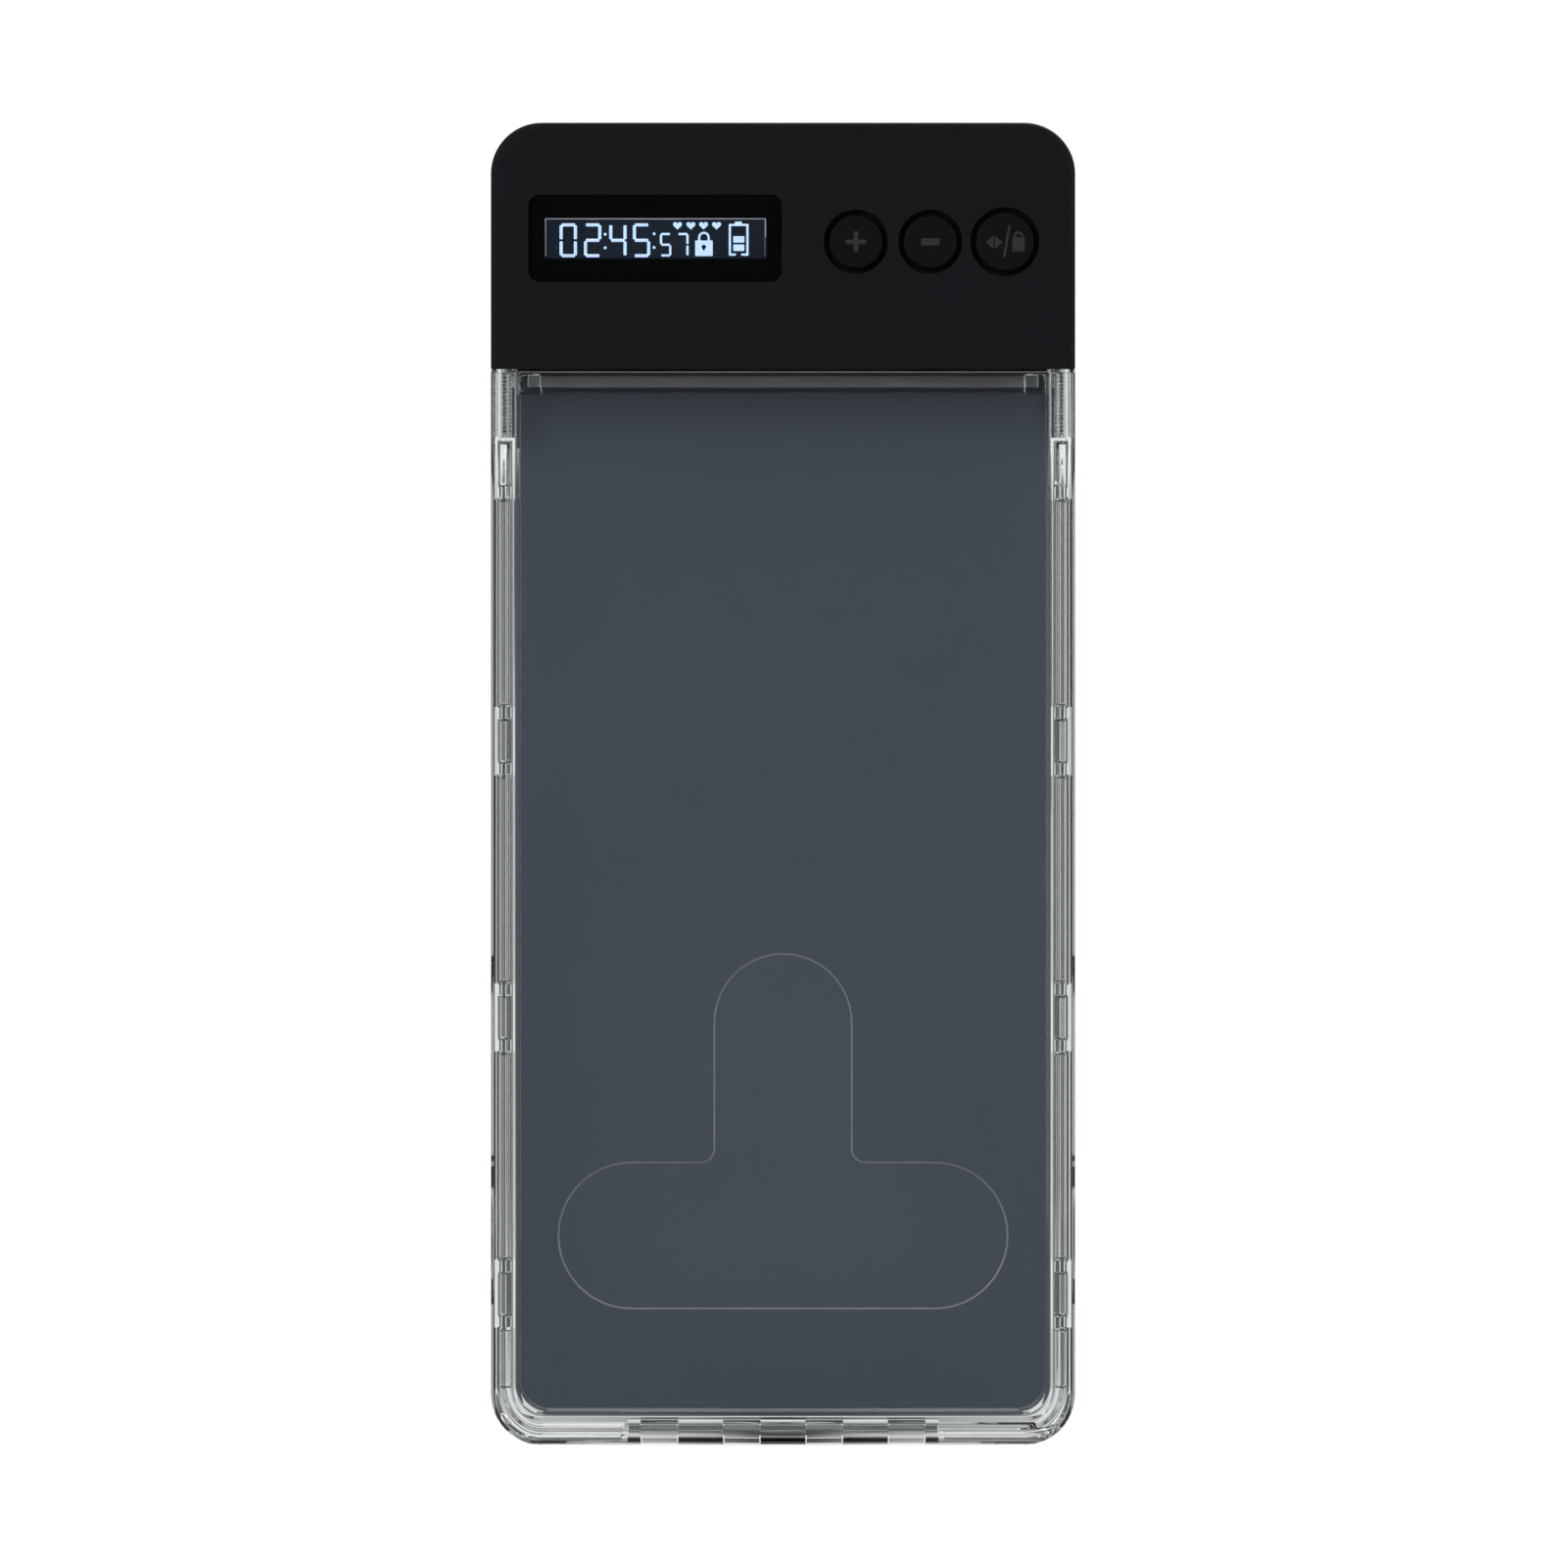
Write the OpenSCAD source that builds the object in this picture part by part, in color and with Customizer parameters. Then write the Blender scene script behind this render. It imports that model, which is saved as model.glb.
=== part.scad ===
// Timed lock case: a clear case with a flip-open cover, and a black head with a timer and a motor lock.
// Millimetres. +Z up, the front faces -Y, and the origin is under the middle of the foot.

/* [Case] */
// Width of the case
case_w = 95; // [90:0.5:120]
// Height from the foot to the top of the head
case_h = 215; // [180:0.5:260]
// Height of the black head
head_h = 40; // [39:0.5:50]
// Depth of the clear case with its cover shut
case_d = 22; // [21.5:0.1:30]
// How far the head stands proud of the cover
head_proud = 1; // [0.4:0.1:1.6]
// Radius of the outer corners, seen from the front
corner_r = 8.3; // [7.5:0.1:10]
// Rounding of the front edges
front_edge_r = 1.2; // [0.6:0.1:1.6]
// Rounding of the back edges
back_edge_r = 2; // [1:0.1:2.6]

/* [Clear tray and cover] */
// Thickness of the clear cover
lid_t = 2.2; // [1.8:0.02:2.8]
// Gap between the shut cover and the tray
seam_gap = 0.2; // [0.15:0.05:0.4]
// Width of the tray's side walls, seen from the front
side_t = 4.5; // [4.3:0.1:6]
// Thickness of the tray's back
back_t = 2; // [1.4:0.1:3]
// Skin that is left over the hinge under the cavity
floor_skin = 0.47; // [0.4:0.01:1.5]
// Radius of the cavity's bottom corners
cavity_r = 5; // [3:0.1:7]
// Thickness of the soft liner on the tray's back
liner_t = 0.8; // [0.5:0.1:1.5]

/* [Rim channel, tongues and snap tabs] */
// Distance from the case's side to the rim channel
channel_inset = 1.3; // [1:0.1:1.6]
// Width of the rim channel
channel_w = 1.8; // [1.5:0.1:2]
// Depth of the rim channel
channel_depth = 7; // [5:0.5:9]
// Width of the cover's tongues and tabs
tongue_w = 1.2; // [0.8:0.05:1.3]
// Depth of the cover's tongues
tongue_depth = 3; // [2:0.1:4]
// Depth of the cover's snap tabs
tab_depth = 2.8; // [2:0.1:3]
// Length of a snap tab's recess
recess_len = 7.2; // [6:0.1:9]
// Depth of a snap tab's recess
recess_depth = 3.2; // [3.1:0.1:5]
// Height of the lowest snap tab
low_tab_z = 24.5; // [22:0.5:30]
// Distance from the head down to the highest snap tab
top_tab_drop = 15.5; // [14:0.5:20]
// Distance aimed at between snap tabs
tab_pitch_aim = 45; // [35:1:60]

/* [Call slot in the cover] */
// Length of the wide part of the slot
slot_len = 72.7; // [60:0.1:76]
// Height of the wide part of the slot
slot_h = 23.4; // [18:0.1:28]
// Height of the slot's lower edge
slot_z = 22.4; // [18:0.1:40]
// Width of the upright part of the slot
stem_w = 22; // [16:0.1:26]
// Height of the slot's top
stem_top_z = 79.7; // [70:0.1:120]
// Fillet where the two parts of the slot meet
slot_fillet = 2.4; // [1:0.1:5]

/* [Hinge] */
// Width of the hinge
hinge_w = 50.6; // [49:0.1:60]
// Length of a tray knuckle
knuckle_len = 5.7; // [4.5:0.1:7]
// Distance between tray knuckles
knuckle_pitch = 13.4; // [11:0.1:14]
// Diameter of the hinge pin
pin_d = 1.6; // [1.2:0.02:2]
// Radial clearance of the pin in the cover's knuckles
pin_run = 0.06; // [0.03:0.01:0.1]

/* [Lock bolts] */
// Distance from the case's side to a bolt's middle
bolt_inset = 23.5; // [22:0.1:28]
// Width of a bolt
bolt_w = 8; // [6:0.1:10]
// Thickness of a bolt, front to back
bolt_t = 5; // [3:0.1:5.4]
// Travel of the bolts
bolt_travel = 4; // [3:0.1:4]
// Height of the strike bar in the cover
strike_h = 2; // [1.5:0.1:2.2]
// Thickness of the strike bar, front to back
strike_t = 2.4; // [2:0.1:2.8]

/* [Rack and pinion] */
// Tooth module
gear_module = 0.5; // [0.5:0.01:0.6]
// Teeth on the pinion
pinion_teeth = 14; // [12:1:16]
// Width of the pinion
pinion_w = 4; // [3:0.1:4.4]
// Diameter of the gearbox's output shaft
shaft_d = 3; // [2.4:0.1:3.2]

/* [Display and buttons] */
// Width of the display window
window_w = 41; // [38:0.1:44]
// Height of the display window
window_h = 14; // [12:0.1:15]
// Distance from the case's side to the window's middle
window_inset = 26.7; // [26:0.1:30]
// Distance from the head's top to the window's middle
window_drop = 18.8; // [18:0.1:20]
// Diameter of the plus and minus buttons
button_d = 8.8; // [7:0.1:9.4]
// Diameter of the lock button
lock_button_d = 9.6; // [8:0.1:10.4]
// Gap around a button
button_gap = 0.8; // [0.3:0.05:0.9]
// Distance from the case's side to the lock button
lock_button_inset = 11.45; // [11.2:0.05:14]
// Distance between buttons
button_pitch = 12.1; // [12:0.05:14]
// Travel of a button
button_travel = 0.5; // [0.3:0.05:0.5]

/* [Head shells] */
// Wall of the head shells
head_wall = 2; // [1.6:0.1:2.4]
// Distance from the head's front to the shells' parting line
split_depth = 7.9; // [7.7:0.1:8.2]

/* [Hidden] */
$fn = 64;

eps = 0.5; // how far a cut runs past a face, and how deep a joined piece starts in its carrier

// Planes of the whole case
front_y = -(case_d + head_proud) / 2;
back_y = -front_y;
head_z = case_h - head_h;
side_x = case_w / 2;

// Cover and tray
lid_front_y = front_y + head_proud;
lid_back_y = lid_front_y + lid_t;
lid_top_z = head_z - 0.6;
tray_front_y = lid_back_y + seam_gap;
cavity_back_y = back_y - back_t;
cavity_x = side_x - side_t;

// Hinge: the axis lies in the cover's back face, over a bull-nosed bottom edge
nose_r = lid_t + 0.08;
foot_gap = 0.12;
hinge_y = lid_back_y;
hinge_z = nose_r + foot_gap;
knuckle_r = lid_t - 0.1;
knuckle_gap = 0.2;
relief_r = nose_r + 0.25;
notch_r = knuckle_r + 0.35;
pin_hold = 0.02;
floor_z = hinge_z + relief_r + floor_skin;
tray_knuckles_x = [for (i = [-1.5:1:1.5]) i * knuckle_pitch];
lid_knuckles_x = [for (i = [-1:1:1]) i * knuckle_pitch];
lid_knuckle_len = knuckle_pitch - knuckle_len - 2 * knuckle_gap;
end_knuckle_x = 1.5 * knuckle_pitch + knuckle_len / 2 + knuckle_gap;

// Snap tabs share the rim channel's column, with a web on each side
top_tab_z = head_z - top_tab_drop;
tab_steps = round((top_tab_z - low_tab_z) / tab_pitch_aim);
tab_pitch = (top_tab_z - low_tab_z) / tab_steps;
tabs_z = [for (i = [0:tab_steps]) low_tab_z + i * tab_pitch];
tab_len = recess_len - 0.4;
web_t = 1.9;
channel_out_x = side_x - channel_inset;
channel_in_x = channel_out_x - channel_w;
channel_mid_x = channel_out_x - channel_w / 2;
channel_spans = [for (i = [0:tab_steps])
    [i == 0 ? corner_r : tabs_z[i - 1] + recess_len / 2 + web_t,
     tabs_z[i] - recess_len / 2 - web_t]];
tongue_end_gap = 0.5;

// Lock bolts, strike bar and carriage
bolt_x = side_x - bolt_inset;
bolt_front_y = front_y + 8.9;
bolt_back_y = bolt_front_y + bolt_t;
bolt_gap = 0.3;
bolt_rest_gap = 0.8;
bolt_low_z = head_z + bolt_rest_gap;
strike_top_z = head_z - 0.8;
strike_low_z = strike_top_z - strike_h;
strike_front_y = bolt_back_y + bolt_gap;
strike_back_y = strike_front_y + strike_t;
strike_end_x = cavity_x - 1.4;
strike_glue = 0.05;
lug_out_x = cavity_x - 0.4;
lug_in_x = lug_out_x - 3.2;
lug_back_y = strike_back_y + 1.1;
lug_low_z = strike_low_z - 1.1;
bar_low_z = head_z + head_wall + bolt_travel + 0.2;
bar_h = 4;
bar_back_y = bolt_front_y + 2.2;
bolt_top_z = bar_low_z + bar_h - 0.4;
rivet_d = 1.7;

// Rack and pinion
pinion_r = gear_module * pinion_teeth / 2;
pressure_angle = 20;
rack_pitch = PI * gear_module;
flank_play = 0.04;
pinion_add = 0.9 * gear_module;
pinion_ded = 1.2 * gear_module;
rack_add = 0.8 * gear_module;
rack_ded = 1.2 * gear_module;
arm_x = 0.8;
arm_w = 4.4;
arm_mid_x = arm_x + arm_w / 2;
arm_back_y = bolt_front_y + 2.4;
rack_y = arm_back_y + rack_ded;
pinion_y = rack_y + pinion_r;
pinion_z = case_h - 18;
rack_below = 2;
rack_above = ceil((bolt_travel + 1.5) / rack_pitch);
arm_top_z = pinion_z + (rack_above + 0.5) * rack_pitch + 0.5;

// Gear motor
gearbox_x = arm_x + arm_w + 3.8;
gearbox_len = 9;
gearbox_h = 12;
gearbox_d = min(10, 2 * (back_y - head_wall - 0.6 - pinion_y));
motor_x = gearbox_x + gearbox_len;
motor_len = 15;
motor_cap_t = 1;
motor_cap_d = gearbox_d - 2.6;
bearing_d = 5;
shaft_run = 0.05;
shaft_flat = 0.5;
shaft_in_box = 1.5;
bracket_t = 1.1;
bracket_w = 7;
bracket_x = gearbox_x + (gearbox_len - bracket_w) / 2;
bracket_reach = 4;
bracket_screw_z = gearbox_h / 2 + 3;
bracket_foot_y = pinion_y - 0.9;

// Keeper: a bent steel guide in front of the carriage's arm
keeper_t = 0.6;
keeper_gap = 0.2;
keeper_front_y = bolt_front_y - keeper_gap - keeper_t;
keeper_lip_y = arm_back_y - 0.4;
keeper_low_z = pinion_z - 10;
keeper_high_z = pinion_z + 6;
keeper_ear_x = arm_x - 7.8;
keeper_step_x = arm_x - 3.4;
keeper_ear_y = keeper_front_y + 1;
keeper_screw_x = (keeper_ear_x + keeper_step_x) / 2;
keeper_screws_z = [keeper_low_z + 2.5, keeper_high_z - 2.5];

// Head shells
split_y = front_y + split_depth;
inner_x = side_x - head_wall;
inner_low_z = head_z + head_wall;
inner_high_z = case_h - head_wall;
inner_front_y = front_y + head_wall;
inner_back_y = back_y - head_wall;
inner_r = corner_r - head_wall;
lip_t = 0.9;
lip_gap = 0.1;
lip_out = 1.2;
lip_root = 1.6;
post_d = 4;

// Screws that hold the head to the tray, through blocks in the rear shell's floor
case_screw_d = 2.1;
case_screw_head_d = 3.6;
case_screw_head_h = 1.5;
case_screw_x = side_x - 2.7;
case_screws_y = [front_y + 12.1, back_y - 3.9];
case_screw_seat_z = head_z + 1.4;
case_screw_tip_z = head_z - 10.6;
case_bore_z = head_z - 11;
case_block_x = side_x - 5.7;
case_block_z = head_z + 3.5;
case_block_y = [case_screws_y[0] - 2.5, back_y - 1.5];

// Screws that hold the two shells together
housing_screw_d = 2.1;
housing_head_d = 4;
housing_head_h = 1.6;
housing_screws = [[side_x - 9.5, head_z + 6], [side_x - 7.5, case_h - 7]];
housing_seat_y = front_y + 14.5;
housing_tip_y = split_y - 3.4;
housing_boss_d = 5.4;
housing_tube_d = 6.4;
housing_counterbore_d = 4.6;

// Display
window_x = -side_x + window_inset;
window_z = case_h - window_drop;
window_r = 1.7;
window_fit = 0.1;
window_t = 0.9;
window_sunk = 0.1;
mask_t = 0.3;
window_pocket = window_sunk + window_t + mask_t;
window_hole = [window_w - 3.5, window_h - 4.5];
view_w = window_w - 5;
view_h = window_h - 7.4;
view_x = window_x + 0.1;
lcd_w = window_w - 1;
lcd_h = window_h - 2;
lcd_t = 2;
lcd_y = inner_front_y + 0.2;
cradle_t = 0.8;
cradle_gap = 0.3;
cradle_depth = 2;

// Circuit board
board_t = 1;
board_back_y = split_y;
board_front_y = board_back_y - board_t;
board_x = inner_x - 3.5;
board_low_z = head_z + 9;
board_high_z = case_h - 6;
board_screw_x = board_x - 12;
board_screws_z = [board_low_z + 2.6, board_high_z - 2.6];
board_screw_d = 1.6;
board_head_d = 3.2;
board_head_h = 1.1;
board_screw_len = 4.5;
board_notch = [board_x - (side_x - 10.7), 4.2];

// Buttons and switches
button_z = case_h - 19.4;
buttons = [[side_x - lock_button_inset - 2 * button_pitch, button_d],
    [side_x - lock_button_inset - button_pitch, button_d],
    [side_x - lock_button_inset, lock_button_d]];
button_sunk = 0.2;
button_edge_r = 0.5;
flange_gap = 0.2;
flange_t = 0.8;
flange_extra = 2.4;
stem_d = 3;
plunger_d = 3.3;
plunger_len = 1.7;
plunger_out = 0.9;
plunger_run = 0.07;
switch_w = 6;
switch_t = 2.5;
switch_bore = plunger_len - plunger_out + button_travel + 0.1;
switch_front_y = board_front_y - switch_t;
plunger_front_y = switch_front_y - plunger_out;

// Charging socket
usb_x = -side_x + 23.5;
usb_w = 8.94;
usb_t = 3.16;
usb_len = 7.4;
usb_wall = 0.3;
usb_gap = 0.15;
usb_top_z = case_h - 0.2;
usb_mid_y = board_back_y + usb_t / 2;

// Battery
battery_w = 30;
battery_h = 20;
battery_t = 5;
tape_t = 0.3;
battery_x = -inner_x + 4.5;
battery_z = head_z + 9.5;
battery_back_y = inner_back_y - tape_t;

// Small parts on the board's back
plug_size = [5, 3, 4];
plug_floor = 0.8;
battery_plug_x = usb_x + 8;
motor_plug_x = motor_x + 6;
plug_z = board_low_z + 2.2;
buzzer_d = 9;
buzzer_t = 3;
buzzer_x = -board_x + 8;
buzzer_z = board_low_z + 9;
lead_d = 1;
lead_pitch = 1.6;
lead_bend = 0.7;

clear_plastic = [0.80, 0.86, 0.86, 0.35];
black_plastic = [0.07, 0.09, 0.10];
slate = [0.25, 0.28, 0.31];
steel = [0.75, 0.76, 0.78];

// ---- Helpers ----

// Lays a flat shape drawn in X and Z out along +Y
module along_y(y0, len) {
    translate([0, y0 + len, 0]) rotate([90, 0, 0]) linear_extrude(len) children();
}

// Lays a flat shape drawn in Y and Z out along +X
module along_x(x0, len) {
    translate([x0, 0, 0]) rotate([90, 0, 90]) linear_extrude(len) children();
}

module rod_x(x0, x1, y, z, d) {
    translate([x0, y, z]) rotate([0, 90, 0]) cylinder(h = x1 - x0, d = d);
}

module rod_y(y0, y1, x, z, d) {
    translate([x, y0, z]) rotate([-90, 0, 0]) cylinder(h = y1 - y0, d = d);
}

module block(low, high) {
    translate(low) cube(high - low);
}

module both_sides() {
    children();
    mirror([1, 0, 0]) children();
}

module rounded_rect(w, h, r) {
    square([w - 2 * r, h], center = true);
    square([w, h - 2 * r], center = true);
    for (x = [-1, 1], y = [-1, 1])
        translate([x * (w / 2 - r), y * (h / 2 - r)]) circle(r = r);
}

// A rectangle from z0 to z1 with two round corners, at its top or at its bottom
module half_rounded(w, z0, z1, r, at_top) {
    r_z = at_top ? z1 - r : z0 + r;
    translate([-w / 2, at_top ? z0 : r_z]) square([w, z1 - z0 - r]);
    translate([-w / 2 + r, at_top ? r_z - r : z0]) square([w - 2 * r, 2 * r]);
    for (x = [-1, 1]) translate([x * (w / 2 - r), r_z]) circle(r = r);
}

// Points of a quarter arc, from one angle to the next
function arc(cx, cy, r, from, to) =
    r == 0 ? [[cx, cy]] : [for (i = [0:5]) let (a = from + (to - from) * i / 5)
        [cx + r * cos(a), cy + r * sin(a)]];

// Section of a slab's edge: x runs outwards, y from the front face to the back face
function edge_section(reach, y0, y1, front_r, back_r) = concat(
    [[0, y0]],
    arc(reach - front_r, y0 + front_r, front_r, -90, 0),
    arc(reach - back_r, y1 - back_r, back_r, 0, 90),
    [[0, y1]]);

// A slab with rounded edges and two round corners, at its bottom or at its top
module edged_slab(z0, z1, y0, y1, front_r, back_r, round_top) {
    section = edge_section(corner_r, y0, y1, front_r, back_r);
    core_x = side_x - corner_r;
    flip_z = round_top ? z0 + z1 : 0;
    translate([0, 0, flip_z]) mirror([0, 0, round_top ? 1 : 0]) {
        block([-core_x, y0, z0 + corner_r], [core_x, y1, z1]);
        translate([-core_x, 0, z0 + corner_r]) rotate([0, 90, 0])
            linear_extrude(2 * core_x) polygon(section);
        both_sides() {
            translate([core_x, 0, z0 + corner_r]) linear_extrude(z1 - z0 - corner_r)
                polygon(section);
            translate([core_x, 0, z0 + corner_r]) rotate([-90, 0, 0])
                rotate_extrude(angle = 90) polygon(section);
        }
    }
}

// A screw that points down, with its head above seat_z
module screw_down(x, y, seat_z, tip_z, d, head_d, head_h) {
    translate([x, y, tip_z]) cylinder(h = seat_z - tip_z, d = d);
    difference() {
        translate([x, y, seat_z]) cylinder(h = head_h, d = head_d);
        for (a = [0, 90]) translate([x, y, seat_z + head_h]) rotate(a)
            cube([0.55 * head_d, 0.5, head_h], center = true);
    }
}

// A screw that points to the front, with its head behind seat_y
module screw_forward(x, z, seat_y, tip_y, d, head_d, head_h) {
    translate([x, seat_y, z]) rotate([-90, 0, 0])
        screw_down(0, 0, 0, tip_y - seat_y, d, head_d, head_h);
}

// A screw that points to the back, with its head in front of seat_y
module screw_backward(x, z, seat_y, tip_y, d, head_d, head_h) {
    translate([x, seat_y, z]) rotate([90, 0, 0])
        screw_down(0, 0, 0, seat_y - tip_y, d, head_d, head_h);
}

// ---- Clear tray, liner and cover ----

module rim_channel_half() {
    depth = channel_depth + eps;
    for (span = channel_spans)
        block([channel_in_x, tray_front_y - eps, span[0]],
            [channel_out_x, tray_front_y + channel_depth, span[1]]);
    translate([side_x - corner_r, tray_front_y - eps, corner_r]) rotate([-90, 0, 0])
        rotate_extrude(angle = 90)
            translate([corner_r - channel_inset - channel_w, 0]) square([channel_w, depth]);
    block([hinge_w / 2 + 1, tray_front_y - eps, channel_inset],
        [side_x - corner_r, tray_front_y + channel_depth, channel_inset + channel_w]);
    for (z = tabs_z)
        block([channel_in_x, tray_front_y - eps, z - recess_len / 2],
            [channel_out_x, tray_front_y + recess_depth, z + recess_len / 2]);
}

// Room for the cover's turning edge, everywhere but at the tray's own knuckles
module hinge_relief() {
    ends = concat([-side_x - eps], [for (x = tray_knuckles_x, s = [-1, 1]) x + s * knuckle_len / 2],
        [side_x + eps]);
    for (i = [0:2:len(ends) - 2])
        rod_x(ends[i], ends[i + 1], hinge_y, hinge_z, 2 * relief_r);
}

module tray() color(clear_plastic) {
    difference() {
        union() {
            edged_slab(0, head_z, tray_front_y, back_y, 0, back_edge_r, false);
            for (x = tray_knuckles_x)
                rod_x(x - knuckle_len / 2, x + knuckle_len / 2, hinge_y, hinge_z, 2 * knuckle_r);
        }
        along_y(tray_front_y - eps, cavity_back_y - tray_front_y + eps)
            half_rounded(2 * cavity_x, floor_z, head_z + eps, cavity_r, false);
        both_sides() {
            rim_channel_half();
            for (y = case_screws_y) translate([case_screw_x, y, case_bore_z])
                cylinder(h = head_z - case_bore_z + eps, d = case_screw_d + 0.1);
        }
        hinge_relief();
        rod_x(-hinge_w / 2, hinge_w / 2, hinge_y, hinge_z, pin_d + 2 * pin_hold);
    }
}

module liner() color(slate) {
    edge_gap = 0.2;
    along_y(cavity_back_y - liner_t, liner_t)
        half_rounded(2 * (cavity_x - edge_gap), floor_z + edge_gap, strike_low_z - 0.7,
            cavity_r - edge_gap, false);
}

module hinge_pin() color(steel) {
    rod_x(-hinge_w / 2 + 0.2, hinge_w / 2 - 0.2, hinge_y, hinge_z, pin_d);
}

// Wide slot with round ends, and an upright slot with a round top, filleted where they meet
module call_slot() {
    wide_r = slot_h / 2;
    stem_r = stem_w / 2;
    slot_top = slot_z + slot_h;
    translate([0, slot_z + wide_r]) {
        square([slot_len - slot_h, slot_h], center = true);
        for (x = [-1, 1]) translate([x * (slot_len - slot_h) / 2, 0]) circle(r = wide_r);
    }
    translate([-stem_r, slot_z + wide_r]) square([stem_w, stem_top_z - stem_r - slot_z - wide_r]);
    translate([0, stem_top_z - stem_r]) circle(r = stem_r);
    for (s = [-1, 1]) difference() {
        translate([s * (stem_r + slot_fillet / 2), slot_top + slot_fillet / 2])
            square(slot_fillet, center = true);
        translate([s * (stem_r + slot_fillet), slot_top + slot_fillet]) circle(r = slot_fillet);
    }
}

module cover_plate() {
    difference() {
        edged_slab(0, lid_top_z, lid_front_y, lid_back_y, front_edge_r, 0, false);
        difference() {
            block([-side_x - eps, lid_front_y - eps, -eps], [side_x + eps, lid_back_y + eps, hinge_z]);
            rod_x(-side_x - 1, side_x + 1, hinge_y, hinge_z, 2 * nose_r);
        }
        along_y(lid_front_y - eps, lid_t + 2 * eps) call_slot();
        for (x = tray_knuckles_x)
            rod_x(x - knuckle_len / 2 - knuckle_gap, x + knuckle_len / 2 + knuckle_gap,
                hinge_y, hinge_z, 2 * notch_r);
    }
}

module cover_tongues_and_tabs() {
    in_x = channel_mid_x - tongue_w / 2;
    out_x = channel_mid_x + tongue_w / 2;
    for (span = channel_spans)
        block([in_x, lid_back_y - eps, max(span[0], corner_r + 0.7) + tongue_end_gap],
            [out_x, lid_back_y + tongue_depth, span[1] - tongue_end_gap]);
    for (z = tabs_z)
        block([in_x, lid_back_y - eps, z - tab_len / 2], [out_x, lid_back_y + tab_depth, z + tab_len / 2]);
}

// Takes an end of the strike bar in a pocket that is open at the top
module strike_lug() {
    difference() {
        block([lug_in_x, lid_back_y - eps, lug_low_z], [lug_out_x, lug_back_y, strike_top_z]);
        block([lug_in_x - eps, strike_front_y - strike_glue, strike_low_z - strike_glue],
            [strike_end_x + strike_glue, strike_back_y + strike_glue, strike_top_z + eps]);
    }
}

module cover() color(clear_plastic) {
    difference() {
        union() {
            cover_plate();
            for (x = lid_knuckles_x)
                rod_x(x - lid_knuckle_len / 2, x + lid_knuckle_len / 2, hinge_y, hinge_z, 2 * knuckle_r);
            both_sides() {
                rod_x(end_knuckle_x, hinge_w / 2, hinge_y, hinge_z, 2 * knuckle_r);
                cover_tongues_and_tabs();
                strike_lug();
            }
        }
        rod_x(-hinge_w / 2 - eps, side_x + eps, hinge_y, hinge_z, pin_d + 2 * pin_run);
    }
}

// The lock bolts drop in front of this bar, which holds the cover shut
module strike_bar() color(steel)
    block([-strike_end_x, strike_front_y, strike_low_z], [strike_end_x, strike_back_y, strike_top_z]);

// ---- Head shells ----

module head_outline(inset) {
    half_rounded(2 * (side_x - inset), head_z + inset, case_h - inset, corner_r - inset, true);
}

module window_shape(grow) {
    translate([window_x, window_z])
        rounded_rect(window_w + 2 * grow, window_h + 2 * grow, window_r + grow);
}

module usb_opening() {
    mid_z = case_h - head_wall / 2;
    translate([usb_x, usb_mid_y, mid_z - head_wall - 1]) linear_extrude(2 * head_wall + 2)
        rounded_rect(usb_w + 2 * usb_gap, usb_t + 2 * usb_gap, usb_t / 2 + usb_gap - 0.01);
}

module lcd_cradle() {
    w = lcd_w + 2 * cradle_gap;
    h = lcd_h + 2 * cradle_gap;
    translate([window_x, window_z]) difference() {
        square([w + 2 * cradle_t, h + 2 * cradle_t], center = true);
        square([w, h], center = true);
    }
}

module head_front() color(black_plastic) {
    difference() {
        union() {
            difference() {
                edged_slab(head_z, case_h, front_y, split_y, front_edge_r, 0, true);
                along_y(inner_front_y, split_y - inner_front_y + eps) head_outline(head_wall);
            }
            along_y(inner_front_y - eps, cradle_depth + eps) lcd_cradle();
            both_sides() {
                for (s = housing_screws)
                    rod_y(inner_front_y - eps, split_y, s[0], s[1], housing_boss_d);
                for (z = board_screws_z)
                    rod_y(inner_front_y - eps, board_front_y, board_screw_x, z, post_d);
            }
        }
        along_y(front_y - eps, window_pocket + eps) window_shape(window_fit);
        along_y(front_y, head_wall + eps) translate([window_x, window_z])
            square(window_hole, center = true);
        for (b = buttons)
            rod_y(front_y - eps, inner_front_y + eps, b[0], button_z, b[1] + 2 * button_gap);
        both_sides() {
            for (s = housing_screws)
                rod_y(housing_tip_y - 0.5, split_y + eps, s[0], s[1], housing_screw_d + 0.1);
            for (z = board_screws_z)
                rod_y(board_front_y - board_screw_len, board_front_y + eps, board_screw_x, z,
                    board_screw_d + 0.1);
        }
        usb_opening();
    }
}

// A lip all round inside the front shell, open at the floor where the bolts' carriage comes down
module head_lip() {
    open_x = bolt_x + bolt_w / 2 + 2;
    difference() {
        union() {
            along_y(split_y - lip_out, lip_out + lip_root) difference() {
                head_outline(head_wall + lip_gap);
                head_outline(head_wall + lip_gap + lip_t);
            }
            along_y(split_y, lip_root) difference() {
                head_outline(head_wall - eps);
                head_outline(head_wall + lip_gap + lip_t);
            }
        }
        block([-open_x, split_y - lip_out - eps, inner_low_z],
            [open_x, split_y + lip_root + eps, inner_low_z + 2]);
    }
}

module rear_posts() {
    for (z = keeper_screws_z)
        rod_y(keeper_ear_y + keeper_t, inner_back_y + eps, keeper_screw_x, z, post_d);
    for (s = [-1, 1]) {
        rod_y(bracket_foot_y, inner_back_y + eps, bracket_x + bracket_w / 2,
            pinion_z + s * bracket_screw_z, post_d);
        block([bracket_x, pinion_y + gearbox_d / 2, pinion_z + s * gearbox_h / 4 - 0.6],
            [bracket_x + bracket_w, inner_back_y + eps, pinion_z + s * gearbox_h / 4 + 0.6]);
    }
}

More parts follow.
